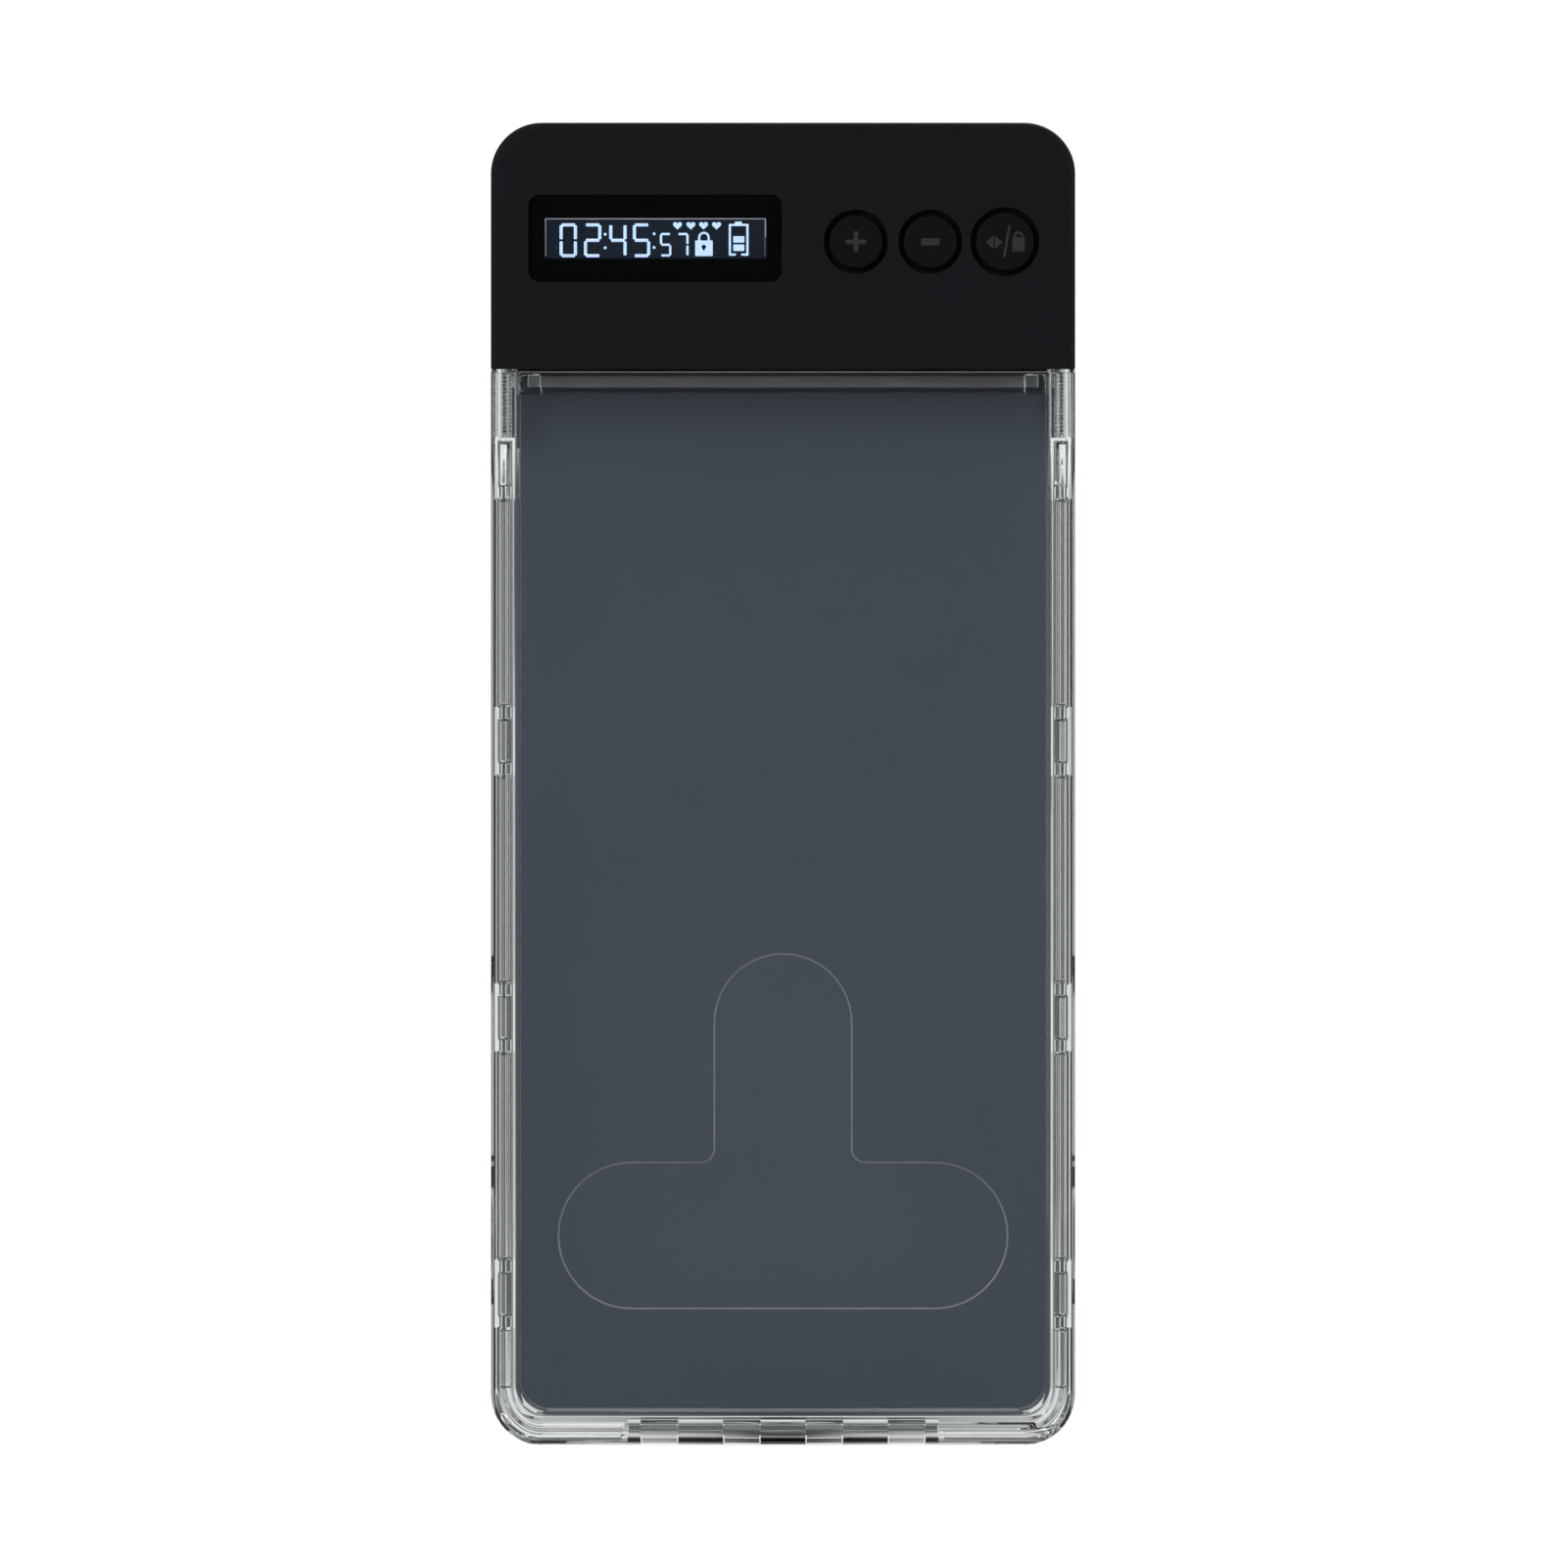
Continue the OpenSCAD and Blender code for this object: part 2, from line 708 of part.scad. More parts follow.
module head_rear() color(black_plastic) {
    difference() {
        union() {
            difference() {
                edged_slab(head_z, case_h, split_y, back_y, 0, back_edge_r, true);
                along_y(split_y - eps, inner_back_y - split_y + eps) head_outline(head_wall);
            }
            head_lip();
            rear_posts();
            both_sides() {
                for (s = housing_screws)
                    rod_y(split_y, inner_back_y + eps, s[0], s[1], housing_tube_d);
                block([case_block_x, case_block_y[0], head_z + 1],
                    [inner_x + eps, case_block_y[1], case_block_z]);
            }
        }
        both_sides() {
            for (s = housing_screws) {
                rod_y(housing_seat_y, back_y + eps, s[0], s[1], housing_counterbore_d);
                rod_y(split_y - 1, back_y, s[0], s[1], housing_screw_d + 0.4);
            }
            for (y = case_screws_y) translate([case_screw_x, y, 0]) {
                translate([0, 0, head_z - eps]) cylinder(h = 5, d = case_screw_d + 0.3);
                translate([0, 0, case_screw_seat_z]) cylinder(h = 5, d = case_screw_head_d + 0.2);
            }
            translate([bolt_x, (bolt_front_y + bolt_back_y) / 2, head_z - eps])
                linear_extrude(head_wall + 2 * eps)
                    square([bolt_w + 0.4, bolt_t + 0.4], center = true);
        }
        for (z = keeper_screws_z)
            rod_y(keeper_ear_y, keeper_ear_y + 6, keeper_screw_x, z, board_screw_d + 0.1);
        for (s = [-1, 1])
            rod_y(bracket_foot_y - eps, bracket_foot_y + 5, bracket_x + bracket_w / 2,
                pinion_z + s * bracket_screw_z, board_screw_d + 0.1);
        usb_opening();
    }
}

// ---- Display and circuit board ----

module display_window() color([0.08, 0.10, 0.12]) {
    along_y(front_y + window_sunk, window_t) window_shape(0);
}

module display_mask() color("black") {
    along_y(front_y + window_sunk + window_t, mask_t) difference() {
        window_shape(0);
        translate([view_x, window_z]) square([view_w, view_h], center = true);
    }
}

module lcd_panel() color([0.16, 0.20, 0.22]) {
    step = 1.2; // the glass's lower sheet is wider, for its contacts
    block([window_x - lcd_w / 2, lcd_y, window_z - lcd_h / 2 + step],
        [window_x + lcd_w / 2, lcd_y + lcd_t / 2, window_z + lcd_h / 2]);
    block([window_x - lcd_w / 2, lcd_y + lcd_t / 2, window_z - lcd_h / 2],
        [window_x + lcd_w / 2, lcd_y + lcd_t, window_z + lcd_h / 2]);
}

module backlight() color("white") {
    difference() {
        block([window_x - lcd_w / 2, lcd_y + lcd_t, window_z - lcd_h / 2],
            [window_x + lcd_w / 2, board_front_y, window_z + lcd_h / 2]);
        for (s = [-1, 1])
            block([window_x + s * lcd_w / 2 - 1, lcd_y + lcd_t + 1, window_z - 1.5],
                [window_x + s * lcd_w / 2 + 1, board_front_y + eps, window_z + 1.5]);
    }
}

module circuit_board() color([0.05, 0.25, 0.16]) {
    mid_z = (board_low_z + board_high_z) / 2;
    difference() {
        along_y(board_front_y, board_t) translate([0, mid_z])
            rounded_rect(2 * board_x, board_high_z - board_low_z, 1);
        both_sides() {
            block([board_x - board_notch[0], board_front_y - eps, board_high_z - board_notch[1]],
                [board_x + eps, board_back_y + eps, board_high_z + eps]);
            for (z = board_screws_z)
                rod_y(board_front_y - eps, board_back_y + eps, board_screw_x, z, board_screw_d + 0.3);
        }
    }
}

module board_chips() color([0.08, 0.08, 0.09]) {
    translate([window_x + 4, board_back_y, window_z]) {
        translate([-3.5, 0, -3.5]) cube([7, 1, 7]);
        for (i = [-3:3], s = [-1, 1]) translate([i - 0.2, 0, s * 4.2 - 0.7]) cube([0.4, 0.3, 1.4]);
    }
    for (b = buttons) translate([b[0] - 1.2, board_back_y, board_high_z - 3]) cube([1.6, 0.6, 0.8]);
    translate([usb_x + usb_w / 2 + 1, board_back_y, board_high_z - 5]) cube([5, 1, 4]);
}

module board_connectors() color("ivory") {
    wall = 0.6;
    for (x = [battery_plug_x, motor_plug_x])
        translate([x - plug_size[0] / 2, board_back_y, plug_z]) difference() {
            cube(plug_size);
            translate([wall, plug_floor, wall])
                cube([plug_size[0] - 2 * wall, plug_size[1], plug_size[2] - 2 * wall]);
        }
}

module buzzer() color([0.1, 0.1, 0.1]) difference() {
    rod_y(board_back_y, board_back_y + buzzer_t, buzzer_x, buzzer_z, buzzer_d);
    rod_y(board_back_y + buzzer_t - 0.8, board_back_y + buzzer_t + eps, buzzer_x, buzzer_z, 2);
}

module usb_socket() color(steel) {
    low_z = usb_top_z - usb_len;
    translate([usb_x, usb_mid_y, low_z]) difference() {
        linear_extrude(usb_len) rounded_rect(usb_w, usb_t, usb_t / 2 - 0.01);
        translate([0, 0, 1]) linear_extrude(usb_len)
            rounded_rect(usb_w - 2 * usb_wall, usb_t - 2 * usb_wall, usb_t / 2 - usb_wall - 0.01);
    }
}

module usb_tongue() color([0.1, 0.1, 0.1]) {
    translate([usb_x - 3.35, usb_mid_y - 0.35, usb_top_z - usb_len + 1]) cube([6.7, 0.7, usb_len - 2]);
}

// ---- Buttons ----

module switches() color([0.15, 0.15, 0.16]) {
    for (b = buttons) difference() {
        block([b[0] - switch_w / 2, switch_front_y, button_z - switch_w / 2],
            [b[0] + switch_w / 2, board_front_y, button_z + switch_w / 2]);
        rod_y(switch_front_y - eps, switch_front_y + switch_bore, b[0], button_z,
            plunger_d + 2 * plunger_run);
    }
}

module plunger(i) {
    rod_y(plunger_front_y, plunger_front_y + plunger_len, buttons[i][0], button_z, plunger_d);
}

// A cap with a rounded front edge, a square flange behind the wall, and a stem to the plunger
module button(i) {
    r = buttons[i][1] / 2;
    face_y = front_y + button_sunk;
    flange_y = inner_front_y + flange_gap;
    flange_w = buttons[i][1] + flange_extra;
    translate([buttons[i][0], face_y, button_z]) rotate([-90, 0, 0])
        rotate_extrude() polygon(concat([[0, 0]],
            arc(r - button_edge_r, button_edge_r, button_edge_r, -90, 0),
            [[r, flange_y - face_y + flange_t / 2], [0, flange_y - face_y + flange_t / 2]]));
    block([buttons[i][0] - flange_w / 2, flange_y, button_z - flange_w / 2],
        [buttons[i][0] + flange_w / 2, flange_y + flange_t, button_z + flange_w / 2]);
    rod_y(flange_y + flange_t / 2, plunger_front_y, buttons[i][0], button_z, stem_d);
}

module plus_button() color([0.11, 0.11, 0.11]) button(0);
module minus_button() color([0.11, 0.11, 0.11]) button(1);
module lock_button() color([0.11, 0.11, 0.11]) button(2);
module plus_plunger() color("dimgray") plunger(0);
module minus_plunger() color("dimgray") plunger(1);
module lock_plunger() color("dimgray") plunger(2);

// ---- Battery and leads ----

module battery() color([0.55, 0.60, 0.66]) {
    block([battery_x, battery_back_y - battery_t, battery_z],
        [battery_x + battery_w, battery_back_y, battery_z + battery_h]);
}

module battery_tape() color("white") {
    block([battery_x + 3, battery_back_y, battery_z + 3],
        [battery_x + battery_w - 3, inner_back_y, battery_z + battery_h - 3]);
}

// A route with each bend cut short on both sides
function eased(route) = [for (i = [0:len(route) - 1])
    each i == 0 || i == len(route) - 1 ? [route[i]]
    : [for (other = [route[i - 1], route[i + 1]]) let (way = other - route[i])
        route[i] + way / norm(way) * lead_bend]];

// Slides a ring of points along a direction, on to a plane
function slid(ring, way, at, normal) = [for (q = ring) q + way * (((at - q) * normal) / (way * normal))];
function unit(v) = v / norm(v);
function rings(route, i, ring) = i == len(route) - 1 ? [ring]
    : let (way = unit(route[i + 1] - route[i]),
           next_way = i + 2 < len(route) ? unit(route[i + 2] - route[i + 1]) : way)
        concat([ring], rings(route, i + 1, slid(ring, way, route[i + 1], unit(way + next_way))));

// A round lead along a route that starts towards +Y
module lead(corners) {
    route = eased(corners);
    sides = 8;
    first = [for (k = [0:sides - 1]) let (a = (k + 0.5) * 360 / sides)
        route[0] + lead_d / 2 * [cos(a), 0, sin(a)]];
    all = rings(route, 0, first);
    last = len(all) - 1;
    polyhedron([for (ring = all) each ring], concat(
        [[for (k = [0:sides - 1]) k], [for (k = [sides - 1:-1:0]) last * sides + k]],
        [for (i = [0:last - 1], k = [0:sides - 1]) let (n = (k + 1) % sides)
            each [[i * sides + k, (i + 1) * sides + k, (i + 1) * sides + n],
                [i * sides + k, (i + 1) * sides + n, i * sides + n]]]));
}

// Both pairs leave a plug on the board towards the back, and never cross
module battery_leads() color([0.6, 0.1, 0.1]) {
    edge_x = battery_x + battery_w;
    mid_y = battery_back_y - battery_t / 2;
    z = plug_z + plug_size[2] / 2;
    for (s = [-1, 1] * lead_pitch / 2) {
        run_y = board_back_y + plug_size[1] + 2.2 - s;
        turn_x = edge_x + 2 + s;
        lead([[battery_plug_x + s, board_back_y + plug_floor, z], [battery_plug_x + s, run_y, z],
            [turn_x, run_y, z], [turn_x, mid_y + s, z], [edge_x, mid_y + s, z]]);
    }
}

module motor_leads() color([0.1, 0.1, 0.6]) {
    cap_x = motor_x + motor_len + motor_cap_t;
    z = plug_z + plug_size[2] / 2;
    for (s = [-1, 1] * lead_pitch / 2) {
        run_y = pinion_y - s;
        end_z = pinion_z + 4 * s;
        turn_x = cap_x + 2;
        lead([[motor_plug_x + s, board_back_y + plug_floor, z], [motor_plug_x + s, run_y, z],
            [turn_x, run_y, z], [turn_x, run_y, end_z], [cap_x, run_y, end_z]]);
    }
}

// ---- Lock drive ----

// Teeth along an arm's back face: each point list runs from the lowest tooth to the highest
module rack_section() {
    function half_width(y) = rack_pitch / 4 - flank_play - (y - rack_y) * tan(pressure_angle);
    tip_y = rack_y + rack_add;
    teeth = [for (k = [-rack_below:rack_above]) let (z = pinion_z + k * rack_pitch)
        each [[arm_back_y, z - half_width(arm_back_y)], [tip_y, z - half_width(tip_y)],
            [tip_y, z + half_width(tip_y)], [arm_back_y, z + half_width(arm_back_y)]]];
    polygon(concat([[bolt_front_y, bar_low_z], [arm_back_y, bar_low_z]], teeth,
        [[arm_back_y, arm_top_z], [bolt_front_y, arm_top_z]]));
}

module bolt_carriage() color([0.85, 0.85, 0.80]) {
    bar_x = bolt_x + bolt_w / 2;
    difference() {
        union() {
            block([-bar_x, bolt_front_y, bar_low_z], [bar_x, bar_back_y, bar_low_z + bar_h]);
            along_x(arm_x, arm_w) rack_section();
        }
        for (s = [-1, 1])
            rod_y(bolt_front_y - eps, bar_back_y + eps, s * bolt_x, bar_low_z + bar_h / 2, rivet_d + 0.1);
    }
}

module lock_bolts() color(steel) {
    for (s = [-1, 1]) difference() {
        along_x(s * bolt_x - bolt_w / 2, bolt_w) polygon([
            [bolt_front_y + 0.5, bolt_low_z], [bolt_back_y - 0.5, bolt_low_z],
            [bolt_back_y, bolt_low_z + 0.5], [bolt_back_y, bolt_top_z],
            [bar_back_y, bolt_top_z], [bar_back_y, bar_low_z],
            [bolt_front_y, bar_low_z], [bolt_front_y, bolt_low_z + 0.5]]);
        rod_y(bar_back_y - eps, bolt_back_y + eps, s * bolt_x, bar_low_z + bar_h / 2, rivet_d + 0.1);
    }
}

module bolt_rivets() color(steel) {
    for (s = [-1, 1])
        rod_y(bolt_front_y, bolt_back_y, s * bolt_x, bar_low_z + bar_h / 2, rivet_d);
}

module bolt_keeper() color(steel) {
    lip_in = arm_x - keeper_gap;
    lip_out = arm_x + arm_w + keeper_gap;
    difference() {
        translate([0, 0, keeper_low_z]) linear_extrude(keeper_high_z - keeper_low_z) polygon([
            [keeper_ear_x, keeper_ear_y], [keeper_step_x - keeper_t, keeper_ear_y],
            [keeper_step_x - keeper_t, keeper_front_y], [lip_out + keeper_t, keeper_front_y],
            [lip_out + keeper_t, keeper_lip_y], [lip_out, keeper_lip_y],
            [lip_out, keeper_front_y + keeper_t], [lip_in, keeper_front_y + keeper_t],
            [lip_in, keeper_lip_y], [lip_in - keeper_t, keeper_lip_y],
            [lip_in - keeper_t, keeper_front_y + keeper_t],
            [keeper_step_x, keeper_front_y + keeper_t], [keeper_step_x, keeper_ear_y + keeper_t],
            [keeper_ear_x, keeper_ear_y + keeper_t]]);
        for (z = keeper_screws_z)
            rod_y(keeper_ear_y - eps, keeper_ear_y + keeper_t + eps, keeper_screw_x, z,
                board_screw_d + 0.3);
    }
}

// Involute tooth: its half angle at a radius, in degrees
function unwind(r) = let (a = acos(min(1, pinion_r * cos(pressure_angle) / r))) tan(a) * 180 / PI - a;
function half_angle(r) = 90 / pinion_teeth - flank_play / pinion_r * 180 / PI
    + unwind(pinion_r) - unwind(r);
function flank_radii() = let (base_r = pinion_r * cos(pressure_angle))
    concat([pinion_r - pinion_ded], [for (i = [0:4]) base_r + (pinion_r + pinion_add - base_r) * i / 4]);
function tooth_points(mid) = let (radii = flank_radii()) concat(
    [for (r = radii) [r * cos(mid - half_angle(r)), r * sin(mid - half_angle(r))]],
    [for (i = [len(radii) - 1:-1:0]) let (r = radii[i])
        [r * cos(mid + half_angle(r)), r * sin(mid + half_angle(r))]]);

// A tooth space faces the rack, at 180 degrees
module pinion_section() {
    step = 360 / pinion_teeth;
    polygon([for (i = [0:pinion_teeth - 1]) each tooth_points(180 + (i + 0.5) * step)]);
}

module shaft_section(d) {
    difference() {
        circle(d = d);
        translate([d / 2 - shaft_flat, -d]) square([d, 2 * d]);
    }
}

module drive_pinion() color("gold") {
    translate([0, pinion_y, pinion_z]) along_x(arm_mid_x - pinion_w / 2, pinion_w) difference() {
        pinion_section();
        shaft_section(shaft_d + 0.04);
    }
}

module output_shaft() color(steel) {
    translate([0, pinion_y, pinion_z]) {
        along_x(arm_mid_x - pinion_w / 2, gearbox_x - arm_mid_x + pinion_w / 2 - 0.8)
            shaft_section(shaft_d);
        rod_x(gearbox_x - 0.8, gearbox_x + shaft_in_box, 0, 0, shaft_d);
    }
}

module gearbox() color([0.72, 0.66, 0.45]) {
    low = [gearbox_x, pinion_y - gearbox_d / 2, pinion_z - gearbox_h / 2];
    plate = 0.8;
    difference() {
        union() {
            for (x = [0, gearbox_len - plate]) translate(low + [x, 0, 0]) cube([plate, gearbox_d, gearbox_h]);
            translate(low + [0, 0.6, 0.6]) cube([gearbox_len, gearbox_d - 1.2, gearbox_h - 1.2]);
            rod_x(gearbox_x - 0.5, gearbox_x + plate, pinion_y, pinion_z, bearing_d);
        }
        rod_x(gearbox_x - 1, gearbox_x + 2, pinion_y, pinion_z, shaft_d + 2 * shaft_run);
    }
}

module motor_can(grow) {
    intersection() {
        circle(d = gearbox_h + 2 * grow);
        square([gearbox_d + 2 * grow, gearbox_h + 2], center = true);
    }
}

module motor() color(steel) {
    translate([0, pinion_y, pinion_z]) along_x(motor_x, motor_len) motor_can(0);
}

module motor_end_cap() color([0.1, 0.1, 0.1]) {
    cap_x = motor_x + motor_len;
    translate([0, pinion_y, pinion_z]) {
        along_x(cap_x, motor_cap_t) motor_can(-0.6);
        rod_x(cap_x + motor_cap_t / 2, cap_x + 1.6 * motor_cap_t, 0, 0, motor_cap_d / 2);
    }
}

// A bent strap over the gearbox, with an ear on each side
module motor_bracket() color(steel) {
    front = -gearbox_d / 2 - 0.1;
    inner = gearbox_h / 2 + 0.1;
    foot = bracket_foot_y - pinion_y;
    difference() {
        translate([0, pinion_y, pinion_z]) along_x(bracket_x, bracket_w) {
            translate([front - bracket_t, -inner - bracket_t]) square([bracket_t, 2 * (inner + bracket_t)]);
            for (s = [0, 1]) mirror([0, s]) {
                translate([front - bracket_t, inner])
                    square([foot - front + bracket_t, bracket_t]);
                translate([foot - bracket_t, inner]) square([bracket_t, bracket_reach + bracket_t]);
            }
        }
        for (s = [-1, 1])
            rod_y(bracket_foot_y - bracket_t - eps, bracket_foot_y + eps, bracket_x + bracket_w / 2,
                pinion_z + s * bracket_screw_z, board_screw_d + 0.3);
    }
}

// ---- Screws ----

module case_screws() color(steel) both_sides() for (y = case_screws_y)
    screw_down(case_screw_x, y, case_screw_seat_z, case_screw_tip_z, case_screw_d,
        case_screw_head_d, case_screw_head_h);

module housing_screws() color(steel) both_sides() for (s = housing_screws)
    screw_forward(s[0], s[1], housing_seat_y, housing_tip_y, housing_screw_d,
        housing_head_d, housing_head_h);

module board_screws() color(steel) both_sides() for (z = board_screws_z)
    screw_forward(board_screw_x, z, board_back_y, board_front_y - board_screw_len + 0.3,
        board_screw_d, board_head_d, board_head_h);

module drive_screws() color(steel) {
    for (z = keeper_screws_z)
        screw_backward(keeper_screw_x, z, keeper_ear_y, keeper_ear_y + 5, board_screw_d, 3, 0.8);
    for (s = [-1, 1])
        screw_backward(bracket_x + bracket_w / 2, pinion_z + s * bracket_screw_z,
            bracket_foot_y - bracket_t, bracket_foot_y + 4, board_screw_d, 3, 0.8);
}

tray();
liner();
hinge_pin();
cover();
strike_bar();
head_front();
head_rear();
display_window();
display_mask();
lcd_panel();
backlight();
circuit_board();
board_chips();
board_connectors();
buzzer();
usb_socket();
usb_tongue();
switches();
plus_plunger();
minus_plunger();
lock_plunger();
plus_button();
minus_button();
lock_button();
battery();
battery_tape();
battery_leads();
motor_leads();
bolt_carriage();
lock_bolts();
bolt_rivets();
bolt_keeper();
drive_pinion();
output_shaft();
gearbox();
motor();
motor_end_cap();
motor_bracket();
case_screws();
housing_screws();
board_screws();
drive_screws();
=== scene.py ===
"""Timed lock case: a clear case with a flip-open cover, and a black head with a timer and a lock.

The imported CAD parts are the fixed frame. Each operator here gives one group of them its finished look.
"""

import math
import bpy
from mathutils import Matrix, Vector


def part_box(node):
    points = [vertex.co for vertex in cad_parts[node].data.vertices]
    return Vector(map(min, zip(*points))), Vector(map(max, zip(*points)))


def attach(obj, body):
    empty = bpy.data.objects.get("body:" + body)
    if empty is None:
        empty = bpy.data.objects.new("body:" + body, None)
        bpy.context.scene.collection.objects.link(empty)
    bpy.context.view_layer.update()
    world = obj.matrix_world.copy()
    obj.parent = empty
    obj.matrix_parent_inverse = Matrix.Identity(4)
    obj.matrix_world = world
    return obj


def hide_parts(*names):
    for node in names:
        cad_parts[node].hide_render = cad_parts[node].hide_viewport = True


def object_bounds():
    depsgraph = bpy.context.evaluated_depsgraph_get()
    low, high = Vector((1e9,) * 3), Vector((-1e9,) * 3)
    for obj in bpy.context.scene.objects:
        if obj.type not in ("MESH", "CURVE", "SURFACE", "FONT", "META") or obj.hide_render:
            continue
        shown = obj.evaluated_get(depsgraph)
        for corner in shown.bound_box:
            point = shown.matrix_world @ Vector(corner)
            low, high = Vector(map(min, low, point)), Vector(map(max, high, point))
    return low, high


bl_info = {
    "name": "Timed Lock Case",
    "version": (1, 0, 0),
    "blender": (4, 5, 0),
    "location": "View3D > Sidebar > Lock Case",
    "description": "Finishes a clear lock case with a timer head around its packed frame",
    "category": "Object",
}

import bmesh
import bpy
from bpy.props import FloatProperty, FloatVectorProperty, IntProperty, PointerProperty, StringProperty
from mathutils import Matrix, Vector
from mathutils.geometry import intersect_point_line

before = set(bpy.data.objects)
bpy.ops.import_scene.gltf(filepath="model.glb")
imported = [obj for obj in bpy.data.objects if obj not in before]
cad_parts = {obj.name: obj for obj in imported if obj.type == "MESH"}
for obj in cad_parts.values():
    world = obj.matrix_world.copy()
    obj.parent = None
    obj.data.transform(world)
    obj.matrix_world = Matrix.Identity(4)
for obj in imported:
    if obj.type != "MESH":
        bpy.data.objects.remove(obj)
cad_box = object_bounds()

MM = 0.001
CASE_FRONT_Y = cad_box[0].y
WINDOW_FRONT_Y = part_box("display_window")[0].y
LCD_FRONT_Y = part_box("lcd_panel")[0].y
TRAY_RIM_Y = -8.1 * MM  # front of the tray's rim, behind the cover
CAVITY_HALF = 43.0 * MM  # half the width of the tray's cavity
SLOT_HALF, SLOT_FOOT, SLOT_TOP = 40 * MM, 15 * MM, 110 * MM  # a space round the touch slot and nothing else
SCREW_R = 1.05 * MM  # radius of a case screw's shank, before its thread is cut
SCREW_AXES = [(side * 44.8 * MM, y * MM) for side in (-1, 1) for y in (0.6, 7.6)]
HARD_EDGE = math.radians(35)  # an edge that turns more than this is eased
SHADED_EDGE = math.radians(32)  # an edge that turns more than this is shaded sharp
BUTTON_BODIES = {"plus_button": "button_plus", "minus_button": "button_minus", "lock_button": "button_lock"}


# ---- What a user would change ----


class CaseFinish(bpy.types.PropertyGroup):
    """Sizes and colours of the clear parts and the head"""

    edge_round: FloatProperty(
        name="Edge rounding",
        description="Radius that eases the moulded edges",
        default=0.3 * MM,
        min=0.02 * MM,
        max=0.5 * MM,
        subtype="DISTANCE",
        unit="LENGTH",
    )
    step_height: FloatProperty(
        name="Rim step height",
        description="Height of the soft steps that run round the cover's rim",
        default=0.6 * MM,
        min=0.0,
        max=1.0 * MM,
        subtype="DISTANCE",
        unit="LENGTH",
    )
    clear_tint: FloatVectorProperty(
        name="Clear plastic tint",
        description="Colour that the clear plastic gives to light",
        default=(0.97, 0.978, 0.977),
        min=0,
        max=1,
        subtype="COLOR",
    )
    # The slot edge's grey is partly its ground finish and partly a painted highlight, which stands in for the
    # light line that the chamfer catches
    slot_edge_frost_and_highlight_colour: FloatVectorProperty(
        name="Slot edge",
        description="Colour of the ground edge round the touch slot",
        default=(0.21, 0.215, 0.225),
        min=0,
        max=1,
        subtype="COLOR",
    )
    clear_ior: FloatProperty(
        name="Clear plastic IOR",
        description="How strongly the clear plastic bends light",
        default=1.49,
        min=1.3,
        max=1.7,
    )
    depth_colour: FloatVectorProperty(
        name="Depth colour",
        description="Colour that thick clear plastic takes",
        default=(0.45, 0.60, 0.55),
        min=0,
        max=1,
        subtype="COLOR",
    )
    depth_tint: FloatProperty(
        name="Depth tint",
        description="How fast the clear plastic darkens with depth, per metre",
        default=12.0,
        min=0,
        max=500,
    )
    haze: FloatProperty(
        name="Haze",
        description="Roughness of the clear surfaces",
        default=0.012,
        min=0,
        max=0.2,
        subtype="FACTOR",
    )
    liner_colour: FloatVectorProperty(
        name="Liner",
        description="Colour of the soft liner on the tray's back",
        default=(0.079, 0.096, 0.123),
        min=0,
        max=1,
        subtype="COLOR",
    )
    head_colour: FloatVectorProperty(
        name="Head",
        description="Colour of the moulded head",
        default=(0.0055, 0.0072, 0.0092),
        min=0,
        max=1,
        subtype="COLOR",
    )
    button_colour: FloatVectorProperty(
        name="Buttons",
        description="Colour of the three caps",
        default=(0.0045, 0.0045, 0.0045),
        min=0,
        max=1,
        subtype="COLOR",
    )
    symbol_colour: FloatVectorProperty(
        name="Symbols",
        description="Colour of the symbols printed on the caps",
        default=(0.030, 0.030, 0.030),
        min=0,
        max=1,
        subtype="COLOR",
    )


class DisplayLook(bpy.types.PropertyGroup):
    """What the timer display shows"""

    digits: StringProperty(
        name="Time left",
        description="Hours, minutes and seconds, as six digits",
        default="024557",
        maxlen=6,
    )
    charge: IntProperty(
        name="Charge",
        description="Lit bars of the battery symbol",
        default=2,
        min=0,
        max=3,
    )
    hearts: IntProperty(
        name="Tries",
        description="Lit hearts, one for each early opening that is left",
        default=4,
        min=0,
        max=4,
    )
    segment_colour: FloatVectorProperty(
        name="Lit segments",
        description="Colour of the lit segments",
        default=(0.60, 0.76, 1.0),
        min=0,
        max=1,
        subtype="COLOR",
    )
    brightness: FloatProperty(
        name="Brightness",
        description="Strength of the lit segments",
        default=0.95,
        min=0,
        max=4,
    )


class StageLook(bpy.types.PropertyGroup):
    """Light and camera"""

    camera_distance: FloatProperty(
        name="Camera distance",
        description="From the camera to the front of the case",
        default=3.0,
        subtype="DISTANCE",
        unit="LENGTH",
    )
    picture_width: FloatProperty(
        name="Picture width",
        description="Width of the picture at the front of the case",
        default=0.2548,
        subtype="DISTANCE",
        unit="LENGTH",
    )
    camera_height: FloatProperty(
        name="Camera height",
        description="Height of the level camera",
        default=0.1075,
        subtype="DISTANCE",
        unit="LENGTH",
    )
    room_light: FloatProperty(
        name="Room light",
        description="Strength of the even light from all round",
        default=0.55,
        min=0,
        max=2,
    )


# ---- Nodes ----


def feed(tree, socket, value):
    """Links another node's output to a socket, or sets it to a number or colour"""
    if isinstance(value, bpy.types.NodeSocket):
        tree.links.new(value, socket)
    else:
        socket.default_value = value


def node(tree, kind, inputs=None, **settings):
    """Adds a node with its settings and inputs"""
    made = tree.nodes.new(kind)
    for key, value in settings.items():
        setattr(made, key, value)
    for key, value in (inputs or {}).items():
        feed(tree, made.inputs[key], value)
    return made


def maths(tree, operation, a, b=0.0):
    return node(tree, "ShaderNodeMath", {0: a, 1: b}, operation=operation).outputs[0]


